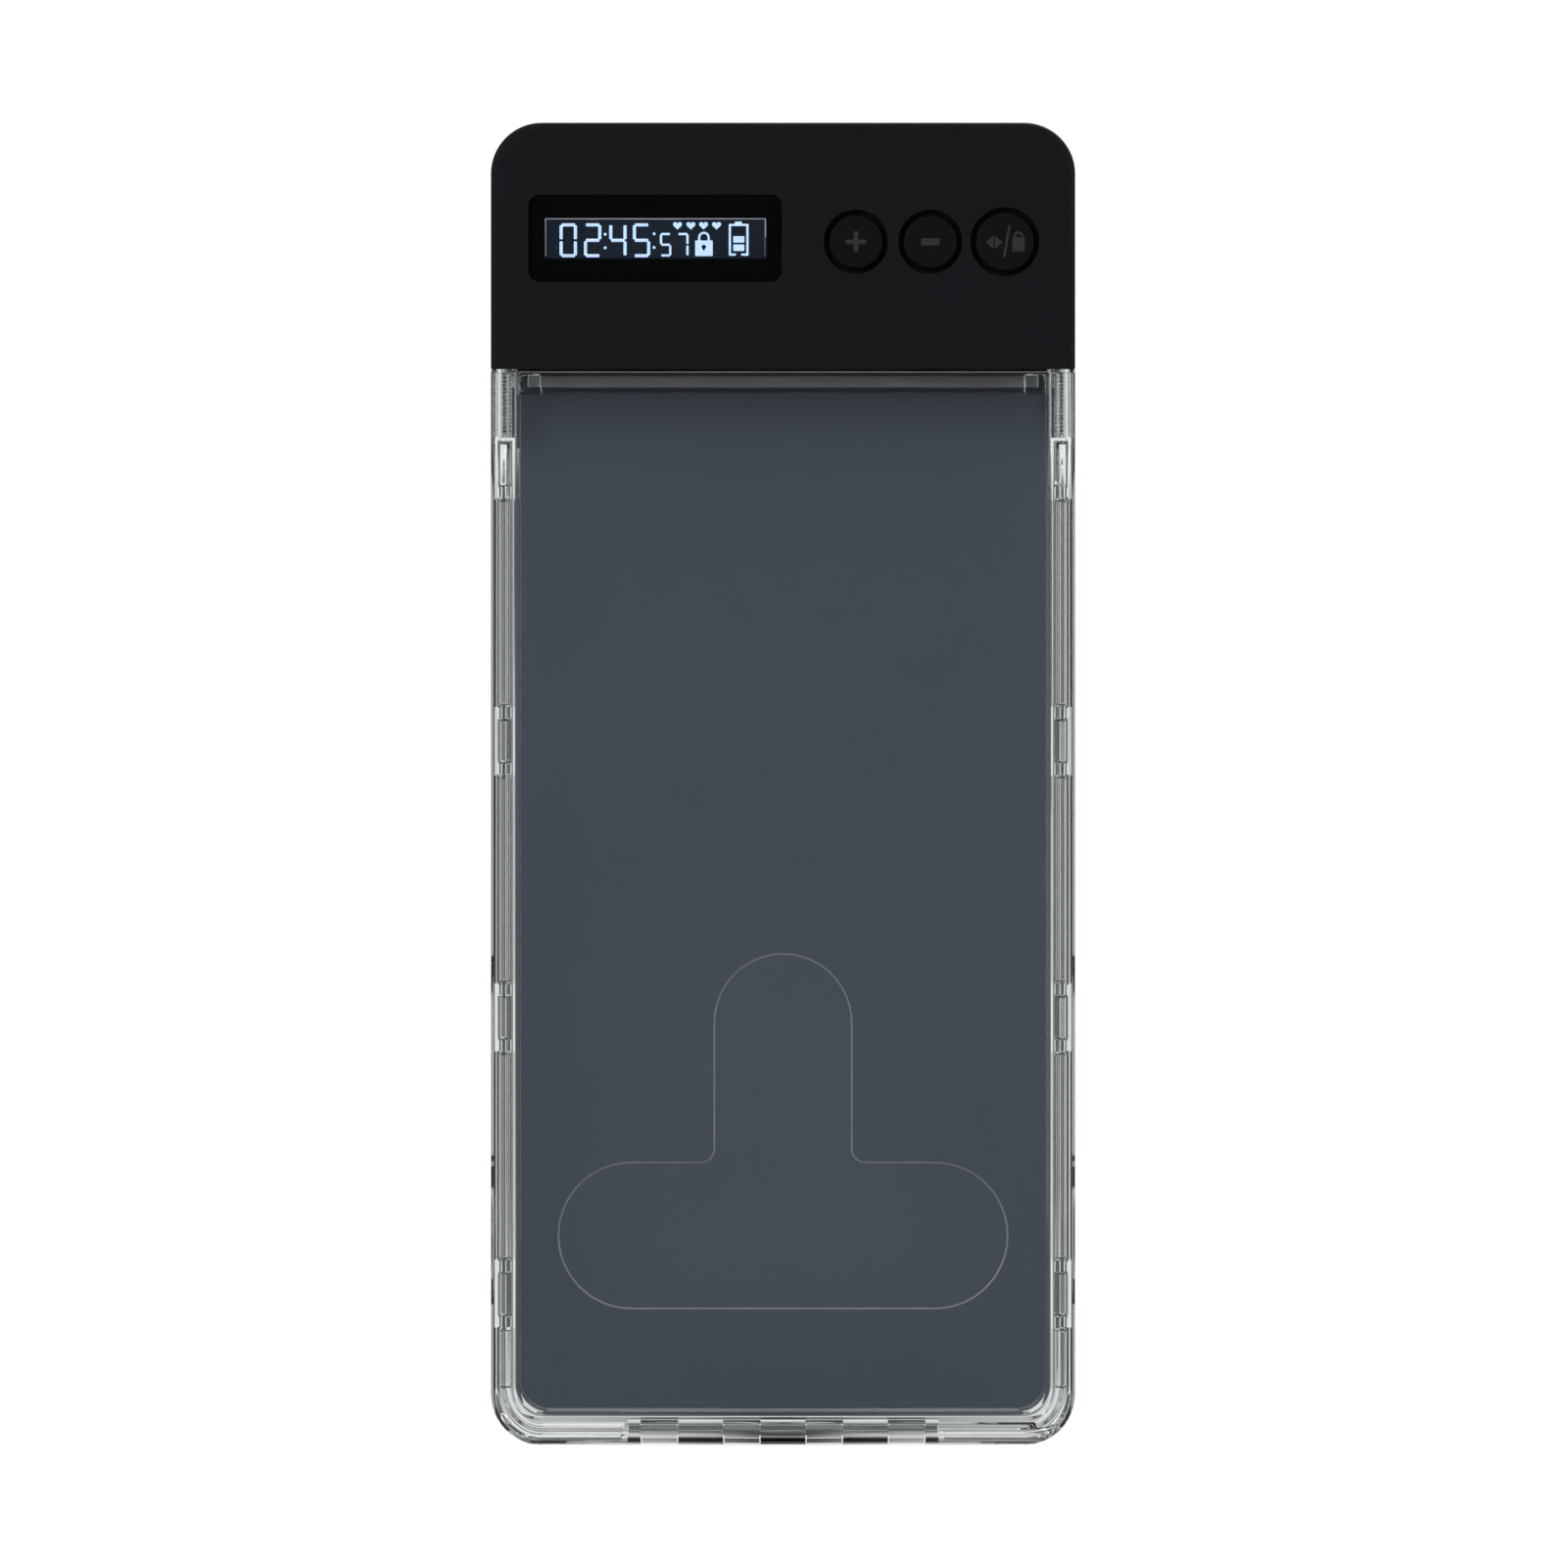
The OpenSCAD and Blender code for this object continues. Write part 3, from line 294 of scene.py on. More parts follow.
def ranged(tree, value, low, high, from_low=0.0, from_high=1.0):
    """A value brought from one range to another, and clamped"""
    inputs = {"Value": value, "From Min": from_low, "From Max": from_high, "To Min": low, "To Max": high}
    return node(tree, "ShaderNodeMapRange", inputs).outputs["Result"]


def mixed_colour(tree, factor, a, b):
    made = node(tree, "ShaderNodeMix", {0: factor}, data_type="RGBA")
    for key, colour in ((6, a), (7, b)):
        feed(tree, made.inputs[key], colour if isinstance(colour, bpy.types.NodeSocket) else (*colour, 1.0))
    return made.outputs[2]


def noise(tree, vector, scale, detail, **more):
    """Noise from 0 to 1. A capital starts the name of each further input."""
    inputs = {"Vector": vector, "Scale": scale, "Detail": detail, **more}
    return node(tree, "ShaderNodeTexNoise", inputs).outputs["Fac"]


def effect_group(name, inputs, outputs):
    """A shader node group that takes a place and some numbers, and gives masks or heights"""
    tree = bpy.data.node_groups.new(name, "ShaderNodeTree")
    tree.interface.new_socket(name="Vector", in_out="INPUT", socket_type="NodeSocketVector")
    for label, value in inputs.items():
        socket = tree.interface.new_socket(name=label, in_out="INPUT", socket_type="NodeSocketFloat")
        socket.default_value = value
    for label in outputs:
        tree.interface.new_socket(name=label, in_out="OUTPUT", socket_type="NodeSocketFloat")
    return tree, tree.nodes.new("NodeGroupInput").outputs, tree.nodes.new("NodeGroupOutput").inputs


def moulded_grain(name):
    """Fine pits and bumps of a spark-eroded mould, with slow changes of tone over the piece"""
    tree, given, result = effect_group(name, {"Grain": 3000.0, "Patches": 30.0}, ("Height", "Tone", "Patch"))
    fine = noise(tree, given["Vector"], given["Grain"], 3.0, Roughness=0.6)
    where = {"Vector": given["Vector"], "Scale": given["Grain"]}
    pits = node(tree, "ShaderNodeTexVoronoi", where, feature="SMOOTH_F1").outputs["Distance"]
    slow = noise(tree, given["Vector"], given["Patches"], 4.0, Roughness=0.55)
    feed(tree, result["Height"], maths(tree, "ADD", fine, maths(tree, "MULTIPLY", pits, 0.5)))
    feed(tree, result["Tone"], ranged(tree, fine, 0.0, 1.0, 0.3, 0.7))
    feed(tree, result["Patch"], ranged(tree, slow, 0.0, 1.0, 0.3, 0.7))
    return tree


def edge_wear(name):
    """A mask that is high along hard edges, broken up by noise"""
    tree, given, result = effect_group(name, {"Radius": 0.0005, "Breaks": 400.0}, ("Wear",))
    soft = node(tree, "ShaderNodeBevel", {"Radius": given["Radius"]}, samples=4).outputs[0]
    flat = node(tree, "ShaderNodeNewGeometry").outputs["True Normal"]
    turn = node(tree, "ShaderNodeVectorMath", {0: soft, 1: flat}, operation="DOT_PRODUCT").outputs["Value"]
    breaks = noise(tree, given["Vector"], given["Breaks"], 5.0)
    edge, broken = ranged(tree, turn, 1.0, 0.0, 0.80, 0.995), ranged(tree, breaks, 0.0, 1.0, 0.35, 0.65)
    feed(tree, result["Wear"], maths(tree, "MULTIPLY", edge, broken))
    return tree


def handling_marks(name):
    """Faint smudges, hairlines and slow waves on a polished surface"""
    tree, given, result = effect_group(
        name, {"Smudges": 45.0, "Hairlines": 500.0}, ("Smudge", "Hairline", "Flow")
    )
    place = given["Vector"]
    smudge = noise(tree, place, given["Smudges"], 6.0, Roughness=0.65, Distortion=0.6)
    long = node(
        tree, "ShaderNodeMapping", {"Vector": place, "Scale": (1.0, 1.0, 0.06), "Rotation": (0.2, 0.5, 0.1)}
    )
    hair = noise(tree, long.outputs[0], given["Hairlines"], 2.0)
    feed(tree, result["Smudge"], ranged(tree, smudge, 0.0, 1.0, 0.45, 0.75))
    feed(tree, result["Hairline"], ranged(tree, hair, 0.0, 1.0, 0.68, 0.78))
    feed(tree, result["Flow"], noise(tree, place, 22.0, 1.0, Roughness=0.4))
    return tree


def rim_steps(name):
    """Height of the soft steps round the rim, from the distance to the outline of the sides and the bottom"""
    sizes = {"Half Width": 0.0475, "Corner": 0.0083, "First": 0.00023, "Pitch": 0.001135, "Steps": 4.0}
    tree, given, result = effect_group(name, sizes, ("Height",))
    place = node(tree, "ShaderNodeSeparateXYZ", {0: given["Vector"]}).outputs
    corner = given["Corner"]
    # Distances past the corner's middle. The steps lie a little wider along the bottom.
    across = maths(tree, "SUBTRACT", given["Half Width"], corner)
    across = maths(tree, "SUBTRACT", maths(tree, "ABSOLUTE", place["X"]), across)
    down = maths(tree, "SUBTRACT", corner, maths(tree, "MULTIPLY", place["Z"], 0.86))
    straight = maths(tree, "MINIMUM", maths(tree, "MAXIMUM", across, down), 0.0)
    past = {axis: maths(tree, "MAXIMUM", reach, 0.0) for axis, reach in enumerate((across, down))}
    bend = node(tree, "ShaderNodeCombineXYZ", past).outputs[0]
    bend = node(tree, "ShaderNodeVectorMath", {0: bend}, operation="LENGTH").outputs["Value"]
    inward = maths(tree, "SUBTRACT", corner, maths(tree, "ADD", bend, straight))
    step = maths(tree, "DIVIDE", maths(tree, "SUBTRACT", inward, given["First"]), given["Pitch"])
    step = maths(tree, "MINIMUM", maths(tree, "MAXIMUM", step, 0.0), given["Steps"])
    wave = maths(tree, "COSINE", maths(tree, "MULTIPLY", step, math.pi))
    # The steps fade beside the highest snap tabs
    fade = ranged(tree, place["Z"], 0.5, 0.22, 0.154, 0.162)
    feed(tree, result["Height"], maths(tree, "MULTIPLY", wave, fade))
    return tree


def grouped(tree, build, inputs):
    """Adds an effect's node group, which is built at its first use"""
    name = build.__name__.replace("_", " ")
    group = bpy.data.node_groups.get(name) or build(name)
    return node(tree, "ShaderNodeGroup", inputs, node_tree=group).outputs


# ---- Materials ----


def blank_material(name):
    """A new material with a Principled shader, its tree and its Object coordinates"""
    material = bpy.data.materials.new(name)
    material.use_nodes = True
    tree = material.node_tree
    shader = tree.nodes["Principled BSDF"]
    place = node(tree, "ShaderNodeTexCoord").outputs["Object"]
    return material, tree, shader, place


def set_plain(shader, **values):
    """Sets sockets that are the same all over"""
    for key, value in values.items():
        shader.inputs[key.replace("_", " ")].default_value = value


def bump(tree, shader, height, distance):
    """Raises the surface, on top of a bump that it has"""
    made = node(tree, "ShaderNodeBump", {"Height": height, "Distance": distance})
    for link in shader.inputs["Normal"].links:
        tree.links.new(link.from_socket, made.inputs["Normal"])
    tree.links.new(made.outputs[0], shader.inputs["Normal"])


def scaled(colour, factor):
    """A colour made darker or lighter"""
    return tuple(min(c * factor, 1.0) for c in colour)


def moulded_plastic(
    name, colour, grain=3000.0, rough=(0.5, 0.62), depth=0.012 * MM, wear=0.0, specular=0.5, spread=0.16
):
    """Moulded plastic with a fine grain, tone patches and worn edges"""
    material, tree, shader, place = blank_material(name)
    skin = grouped(tree, moulded_grain, {"Vector": place, "Grain": grain, "Patches": 30.0})
    tone = mixed_colour(tree, skin["Patch"], scaled(colour, 1 - spread), scaled(colour, 1 + spread))
    tone = mixed_colour(tree, maths(tree, "MULTIPLY", skin["Tone"], 0.25), tone, scaled(colour, 1.6))
    if wear:
        worn = grouped(tree, edge_wear, {"Vector": place, "Radius": 0.45 * MM, "Breaks": 350.0})
        pale = tuple(min(c * 3 + 0.012, 1.0) for c in colour)
        tone = mixed_colour(tree, maths(tree, "MULTIPLY", worn["Wear"], wear), tone, pale)
    feed(tree, shader.inputs["Base Color"], tone)
    feed(tree, shader.inputs["Roughness"], ranged(tree, skin["Patch"], *rough))
    bump(tree, shader, skin["Height"], depth)
    set_plain(shader, IOR=1.5, Specular_IOR_Level=specular)
    return material


def let_light_through(tree, shader, colour):
    """Lets lamps and soft light pass the glass straight, so that what it covers is lit as in the open"""
    path = node(tree, "ShaderNodeLightPath")
    through = node(tree, "ShaderNodeBsdfTransparent", {"Color": (*colour, 1.0)})
    soft = node(tree, "ShaderNodeMixShader", {0: path.outputs["Is Diffuse Ray"]})
    lamp = node(tree, "ShaderNodeMixShader", {0: path.outputs["Is Shadow Ray"]})
    tree.links.new(shader.outputs[0], soft.inputs[1])
    tree.links.new(through.outputs[0], soft.inputs[2])
    tree.links.new(soft.outputs[0], lamp.inputs[1])
    tree.links.new(through.outputs[0], lamp.inputs[2])
    tree.links.new(lamp.outputs[0], tree.nodes["Material Output"].inputs["Surface"])


def polish(tree, shader, marks, rough, hairline):
    """Roughness that smudges raise from the first value to the second, and hairlines further"""
    smudged = ranged(tree, marks["Smudge"], *rough)
    scratched = maths(tree, "MULTIPLY", marks["Hairline"], hairline)
    feed(tree, shader.inputs["Roughness"], maths(tree, "ADD", smudged, scratched))


def clear_plastic(name, finish, steps=0.0):
    """Clear moulded plastic that darkens a little with depth, with soft steps along its rim"""
    material, tree, shader, place = blank_material(name)
    marks = grouped(tree, handling_marks, {"Vector": place, "Smudges": 45.0, "Hairlines": 500.0})
    set_plain(shader, Transmission_Weight=1.0, IOR=finish.clear_ior)
    tint = mixed_colour(tree, marks["Smudge"], finish.clear_tint, scaled(finish.clear_tint, 0.985))
    feed(tree, shader.inputs["Base Color"], tint)
    polish(tree, shader, marks, (finish.haze, finish.haze * 2.2), 0.05)
    bump(tree, shader, marks["Flow"], 0.004 * MM)
    if steps:
        bump(tree, shader, grouped(tree, rim_steps, {"Vector": place})["Height"], steps)
    let_light_through(tree, shader, scaled(finish.clear_tint, 0.98))
    depth = node(tree, "ShaderNodeVolumeAbsorption")
    set_plain(depth, Color=(*finish.depth_colour, 1.0), Density=finish.depth_tint)
    tree.links.new(depth.outputs[0], tree.nodes["Material Output"].inputs["Volume"])
    return material


def ground_edge(name, colour):
    """The finely ground chamfer round a cut opening, which catches the light"""
    material, tree, shader, place = blank_material(name)
    marks = grouped(tree, handling_marks, {"Vector": place, "Smudges": 120.0, "Hairlines": 1500.0})
    tone = mixed_colour(tree, marks["Smudge"], scaled(colour, 1.1), scaled(colour, 0.85))
    feed(tree, shader.inputs["Base Color"], tone)
    feed(tree, shader.inputs["Roughness"], ranged(tree, marks["Hairline"], 0.3, 0.5))
    return material


def soft_liner(name, colour):
    """A soft matte sheet with a very fine felted grain"""
    material, tree, shader, place = blank_material(name)
    skin = grouped(tree, moulded_grain, {"Vector": place, "Grain": 2200.0, "Patches": 14.0})
    tone = mixed_colour(tree, skin["Patch"], scaled(colour, 0.96), scaled(colour, 1.04))
    tone = mixed_colour(tree, maths(tree, "MULTIPLY", skin["Tone"], 0.10), tone, scaled(colour, 1.35))
    feed(tree, shader.inputs["Base Color"], tone)
    feed(tree, shader.inputs["Roughness"], ranged(tree, skin["Tone"], 0.72, 0.86))
    bump(tree, shader, skin["Height"], 0.02 * MM)
    set_plain(shader, Specular_IOR_Level=0.3, Sheen_Weight=0.05)
    return material


def metal(name, colour, rough=(0.18, 0.34), lines=(1.0, 1.0, 0.08), scale=2500.0, depth=0.002 * MM):
    """Metal with fine drawing lines and uneven polish"""
    material, tree, shader, place = blank_material(name)
    turned = node(tree, "ShaderNodeMapping", {"Vector": place, "Scale": lines})
    brushed = noise(tree, turned.outputs[0], scale, 4.0)
    skin = grouped(tree, moulded_grain, {"Vector": place, "Grain": 900.0, "Patches": 120.0})
    tone = mixed_colour(tree, skin["Patch"], scaled(colour, 0.92), scaled(colour, 1.05))
    feed(tree, shader.inputs["Base Color"], tone)
    feed(tree, shader.inputs["Roughness"], ranged(tree, brushed, *rough, 0.3, 0.7))
    bump(tree, shader, brushed, depth)
    set_plain(shader, Metallic=1.0)
    return material


def smoked_window(name):
    """Polished smoked plastic that lets the lit segments through"""
    material, tree, shader, place = blank_material(name)
    marks = grouped(tree, handling_marks, {"Vector": place, "Smudges": 160.0, "Hairlines": 900.0})
    tint = mixed_colour(tree, marks["Smudge"], (0.80, 0.84, 0.90), (0.76, 0.80, 0.86))
    feed(tree, shader.inputs["Base Color"], tint)
    polish(tree, shader, marks, (0.01, 0.035), 0.08)
    set_plain(shader, Transmission_Weight=1.0, IOR=1.28)
    let_light_through(tree, shader, (0.75, 0.8, 0.86))
    return material


def lit_print(name, colour, strength):
    """Segments of the display that the backlight shines through, a little uneven"""
    material, tree, shader, place = blank_material(name)
    uneven = ranged(tree, noise(tree, place, 700.0, 2.0), 0.0, 1.0, 0.3, 0.7)
    glow = mixed_colour(tree, uneven, scaled(colour, 0.86), colour)
    feed(tree, shader.inputs["Emission Color"], glow)
    feed(tree, shader.inputs["Base Color"], glow)
    set_plain(shader, Emission_Strength=strength, Roughness=0.4)
    return material


def display_ground(name):
    """The unlit ground of the display, faintly lit from behind"""
    material, tree, shader, place = blank_material(name)
    cloud = noise(tree, place, 110.0, 3.0)
    tone = mixed_colour(tree, cloud, (0.006, 0.009, 0.014), (0.012, 0.019, 0.028))
    glow = mixed_colour(tree, cloud, (0.006, 0.009, 0.013), (0.014, 0.022, 0.032))
    feed(tree, shader.inputs["Base Color"], tone)
    feed(tree, shader.inputs["Emission Color"], glow)
    feed(tree, shader.inputs["Roughness"], ranged(tree, cloud, 0.12, 0.3))
    set_plain(shader, Emission_Strength=0.5)
    return material


def circuit_mask(name):
    """A green board: glossy mask over copper tracks"""
    material, tree, shader, place = blank_material(name)
    tracks = node(tree, "ShaderNodeTexBrick", {
        "Vector": place, "Scale": 260.0, "Mortar Size": 0.06, "Color1": (0.010, 0.060, 0.028, 1.0),
        "Color2": (0.014, 0.085, 0.040, 1.0), "Mortar": (0.030, 0.150, 0.060, 1.0),
    })
    feed(tree, shader.inputs["Base Color"], tracks.outputs["Color"])
    bump(tree, shader, tracks.outputs["Fac"], 0.02 * MM)
    skin = grouped(tree, moulded_grain, {"Vector": place, "Grain": 1500.0, "Patches": 60.0})
    feed(tree, shader.inputs["Roughness"], ranged(tree, skin["Patch"], 0.2, 0.35))
    return material


# ---- Meshes ----


def level_regions(bm):
    """Groups faces that lie in one plane and touch, largest face first"""
    left = set(bm.faces)
    regions = []
    for seed in sorted(bm.faces, key=lambda f: -f.calc_area()):
        if seed not in left:
            continue
        left.discard(seed)
        region, rim = [seed], [seed]
        while rim:
            face = rim.pop()
            for edge in face.edges:
                for other in edge.link_faces:
                    if other in left and other.normal.dot(seed.normal) > 0.99999:
                        left.discard(other)
                        region.append(other)
                        rim.append(other)
        regions.append(region)
    return regions


def whole_groups(region):
    """Splits a level region into groups without holes, as large as they grow"""
    left = set(region)
    for seed in sorted(region, key=lambda f: -f.calc_area()):
        if seed not in left:
            continue
        group, verts, edges = {seed}, set(seed.verts), set(seed.edges)
        grown = True
        while grown:
            grown = False
            beside = {o for e in edges for o in e.link_faces if o in left and o not in group}
            for face in sorted(beside, key=lambda f: f.index):
                new_verts = [v for v in face.verts if v not in verts]
                new_edges = [e for e in face.edges if e not in edges]
                if len(new_edges) < len(face.edges) and len(new_verts) - len(new_edges) + 1 == 0:
                    group.add(face)
                    verts.update(new_verts)
                    edges.update(new_edges)
                    grown = True
        left -= group
        yield group


def merged_node(name):
    """A copy of a CAD node, merged into a closed mesh, with its flat faces made whole"""
    bm = bmesh.new()
    bm.from_mesh(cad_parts[name].data)
    bmesh.ops.remove_doubles(bm, verts=bm.verts, dist=0.002 * MM)
    bm.normal_update()
    bm.faces.index_update()
    for region in level_regions(bm):
        for group in list(whole_groups(region)):
            if len(group) > 1:
                faces = sorted(group, key=lambda f: f.index)
                bmesh.ops.dissolve_faces(bm, faces=faces, use_verts=False)
    return bm


def crowded(edge, room):
    """Whether another edge of a face faces this one across less than the room it needs"""
    for loop in edge.link_loops:
        start, end = loop.vert.co, loop.link_loop_next.vert.co
        inward = loop.face.normal.cross(end - start).normalized()
        for other in loop.face.edges:
            if other is edge:
                continue
            a, b = (v.co for v in other.verts)
            # Each end against the other edge, with the gap's sense from this edge to the other
            pairs = ((a, start, end, 1), (b, start, end, 1), (start, a, b, -1), (end, a, b, -1))
            for point, low, high, sense in pairs:
                near, part = intersect_point_line(point, low, high)
                if not 0.0 <= part <= 1.0:
                    near = low if part < 0.0 else high
                gap = (point - near) * sense
                if 0.0001 * MM < gap.length < room and gap.dot(inward) > 0.7 * gap.length:
                    return True
    return False


def eased_edges(bm, radius, segments=2, where=lambda edge: True, curved=lambda edge: False):
    """Bevels the hard edges that have room for it on both sides"""
    bm.normal_update()
    room = 2.2 * radius
    width = {}
    for region in level_regions(bm):
        inside = set(region)
        outline = [e for f in region for e in f.edges if any(o not in inside for o in e.link_faces)]
        around = max(sum(e.calc_length() for e in outline), 1e-9)
        width.update(dict.fromkeys(region, 2 * sum(f.calc_area() for f in region) / around))
    hard = [e for e in bm.edges if e.calc_face_angle(0.0) > HARD_EDGE]
    is_hard = set(hard)

    def depth(face, edge):
        """How far the face reaches from the edge, also where it is one step of a curved wall"""
        if curved(edge) and len(face.edges) == 4:
            return face.calc_area() / edge.calc_length()
        return width[face]

    def carried_on(edge, vert):
        """Whether a short edge is one step of a curve that goes on past this end"""
        along = (edge.other_vert(vert).co - vert.co).normalized()
        others = [e for e in vert.link_edges if e in is_hard and e is not edge]
        return any(along.dot((e.other_vert(vert).co - vert.co).normalized()) < -0.86 for e in others)

    def has_room(edge):
        if not where(edge) or min(depth(f, edge) for f in edge.link_faces) < room:
            return False
        long = edge.calc_length() > 3 * radius or all(carried_on(edge, v) for v in edge.verts)
        return long and not crowded(edge, room)

    bmesh.ops.bevel(
        bm, geom=[e for e in hard if has_room(e)], offset=radius, offset_type="OFFSET", segments=segments,
        profile=0.5, affect="EDGES", clamp_overlap=False, material=-1,
    )
    bm.normal_update()
    warped = [
        f for f in bm.faces if any(abs((v.co - f.verts[0].co).dot(f.normal)) > 0.005 * MM for v in f.verts)
    ]
    bmesh.ops.triangulate(bm, faces=warped)
    return bm


def chamfer_faces(bm, front_y, depth, where=lambda middle: True):
    """The sloped faces just behind a front"""
    bm.normal_update()
    for face in bm.faces:
        middle = face.calc_center_median()
        if where(middle) and middle.y < front_y + depth and 0.1 < -face.normal.y < 0.99:
            yield face


def add_piece(name, bm, materials, body, slot, replaces=()):
    """Puts a finished mesh into the scene, riding on its body"""
    for face in bm.faces:
        face.smooth = True
    for edge in bm.edges:
        edge.smooth = edge.calc_face_angle(math.pi) < SHADED_EDGE
    mesh = bpy.data.meshes.new(name)
    bm.to_mesh(mesh)
    bm.free()
    if "custom_normal" in mesh.attributes:
        mesh.attributes.remove(mesh.attributes["custom_normal"])
    piece = bpy.data.objects.new(name, mesh)
    bpy.context.scene.collection.objects.link(piece)
    for material in materials:
        mesh.materials.append(material)
    shade = piece.modifiers.new("even shading", "WEIGHTED_NORMAL")
    shade.mode, shade.keep_sharp = "FACE_AREA", True
    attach(piece, body)
    if replaces:
        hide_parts(*replaces)
    return piece


def paint(material, *names):
    """Gives CAD nodes that stay as they are their material"""
    for name in names:
        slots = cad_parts[name].data.materials
        slots.clear()
        slots.append(material)


def front_middle(name):
    """The middle of a node, across and up"""
    low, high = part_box(name)
    return (low.x + high.x) / 2, (low.z + high.z) / 2


# Flat shapes are drawn in millimetres, across (X) and up (Z) from the middle of what they are printed on.


def placed(bm, verts, across, up, turn=0.0, grow=(1.0, 1.0)):
    """Stands a shape that was made in the XY plane up to face the front, then sizes, turns and places it"""
    bmesh.ops.scale(bm, vec=(grow[0], grow[1], 1.0), verts=verts)
    stand = Matrix.Rotation(math.radians(turn), 3, (0, -1, 0)) @ Matrix.Rotation(math.radians(90), 3, "X")
    bmesh.ops.rotate(bm, cent=(0, 0, 0), matrix=stand, verts=verts)
    bmesh.ops.translate(bm, vec=(across, 0, up), verts=verts)


def flat_bar(bm, low, high, round_by=0.0):
    """An upright or level bar with rounded corners"""
    verts = bmesh.ops.create_grid(bm, x_segments=1, y_segments=1, size=0.5)["verts"]
    size = (high[0] - low[0], high[1] - low[1])
    placed(bm, verts, (low[0] + high[0]) / 2, (low[1] + high[1]) / 2, grow=size)
    if round_by:
        bmesh.ops.bevel(
            bm, geom=verts, offset=round_by, offset_type="OFFSET", segments=4, profile=0.5,
            affect="VERTICES", clamp_overlap=True, material=-1,
        )


def flat_disc(bm, across, up, radius, segments=28, turn=0.0, grow=(1.0, 1.0)):
    """A disc, or a shape with few corners"""
    verts = bmesh.ops.create_circle(bm, cap_ends=True, radius=radius, segments=segments)["verts"]
    placed(bm, verts, across, up, turn, grow)


def flat_arch(bm, across, up, radius, width):
    """The upper half of a ring"""
    ends = [bm.verts.new((across + radius + side * width / 2, 0, up)) for side in (-1, 1)]
    bmesh.ops.spin(
        bm, geom=[*ends, bm.edges.new(ends)], cent=(across, 0, up), axis=(0, -1, 0), angle=math.pi, steps=20,
        use_merge=False, use_duplicate=False,
    )


def flat_heart(bm, across, up, width, height):
    """A disc pulled into a heart"""
    verts = bmesh.ops.create_circle(bm, cap_ends=True, radius=1.0, segments=32)["verts"]
    for v in verts:
        t = math.atan2(v.co.x, v.co.y)
        v.co.x = math.sin(t) ** 3 / 2
        v.co.y = (13 * math.cos(t) - 5 * math.cos(2 * t) - 2 * math.cos(3 * t) - math.cos(4 * t) + 2.6) / 29
    placed(bm, verts, across, up, grow=(width, height))


def flat_padlock(bm, low, high, shackle, width, arch):
    """A padlock: a body, and a shackle with the given outer radius, width and height of its arch's middle"""
    middle = (low[0] + high[0]) / 2
    flat_bar(bm, low, high, 0.12)
    flat_arch(bm, middle, arch, shackle - width / 2, width)
    for side in (-1, 1):
        x = middle + side * (shackle - width / 2)
        flat_bar(bm, (x - width / 2, high[1] - 0.05), (x + width / 2, arch + 0.01))


SEGMENTS = {
    "0": "abcdef", "1": "bc", "2": "abged", "3": "abgcd", "4": "fgbc",
    "5": "afgcd", "6": "afgedc", "7": "abc", "8": "abcdefg", "9": "abcdfg",
}


def flat_digit(bm, digit, left, low, width, height, stroke):
    """A seven-segment digit"""
    right, high, middle = left + width, low + height, low + height / 2
    gap, half = stroke * 0.62, stroke / 2
    places = {
        "a": ((left + gap, high - stroke), (right - gap, high)),
        "d": ((left + gap, low), (right - gap, low + stroke)),
        "g": ((left + gap, middle - half), (right - gap, middle + half)),
        "f": ((left, middle + gap * 0.55), (left + stroke, high - gap)),
        "b": ((right - stroke, middle + gap * 0.55), (right, high - gap)),
        "e": ((left, low + gap), (left + stroke, middle - gap * 0.55)),
        "c": ((right - stroke, low + gap), (right, middle - gap * 0.55)),
    }
    for segment in SEGMENTS.get(digit, ""):
        flat_bar(bm, *places[segment], round_by=stroke * 0.3)


def thick_layer(bm, middle, back_y, thickness):
    """Gives flat shapes a thickness to the front, turns millimetres into metres, and puts them in place"""
    bmesh.ops.remove_doubles(bm, verts=bm.verts, dist=0.0005)
    bmesh.ops.recalc_face_normals(bm, faces=bm.faces)
    for face in bm.faces:
        if face.normal.y > 0:
            face.normal_flip()
    bmesh.ops.solidify(bm, geom=bm.faces[:], thickness=thickness / MM)
    bmesh.ops.recalc_face_normals(bm, faces=bm.faces)
    bmesh.ops.scale(bm, vec=(MM, MM, MM), verts=bm.verts)
    low = min(v.co.y for v in bm.verts)
    bmesh.ops.translate(bm, vec=(middle[0], back_y - thickness - low, middle[1]), verts=bm.verts)
    return bm


# ---- Operators ----


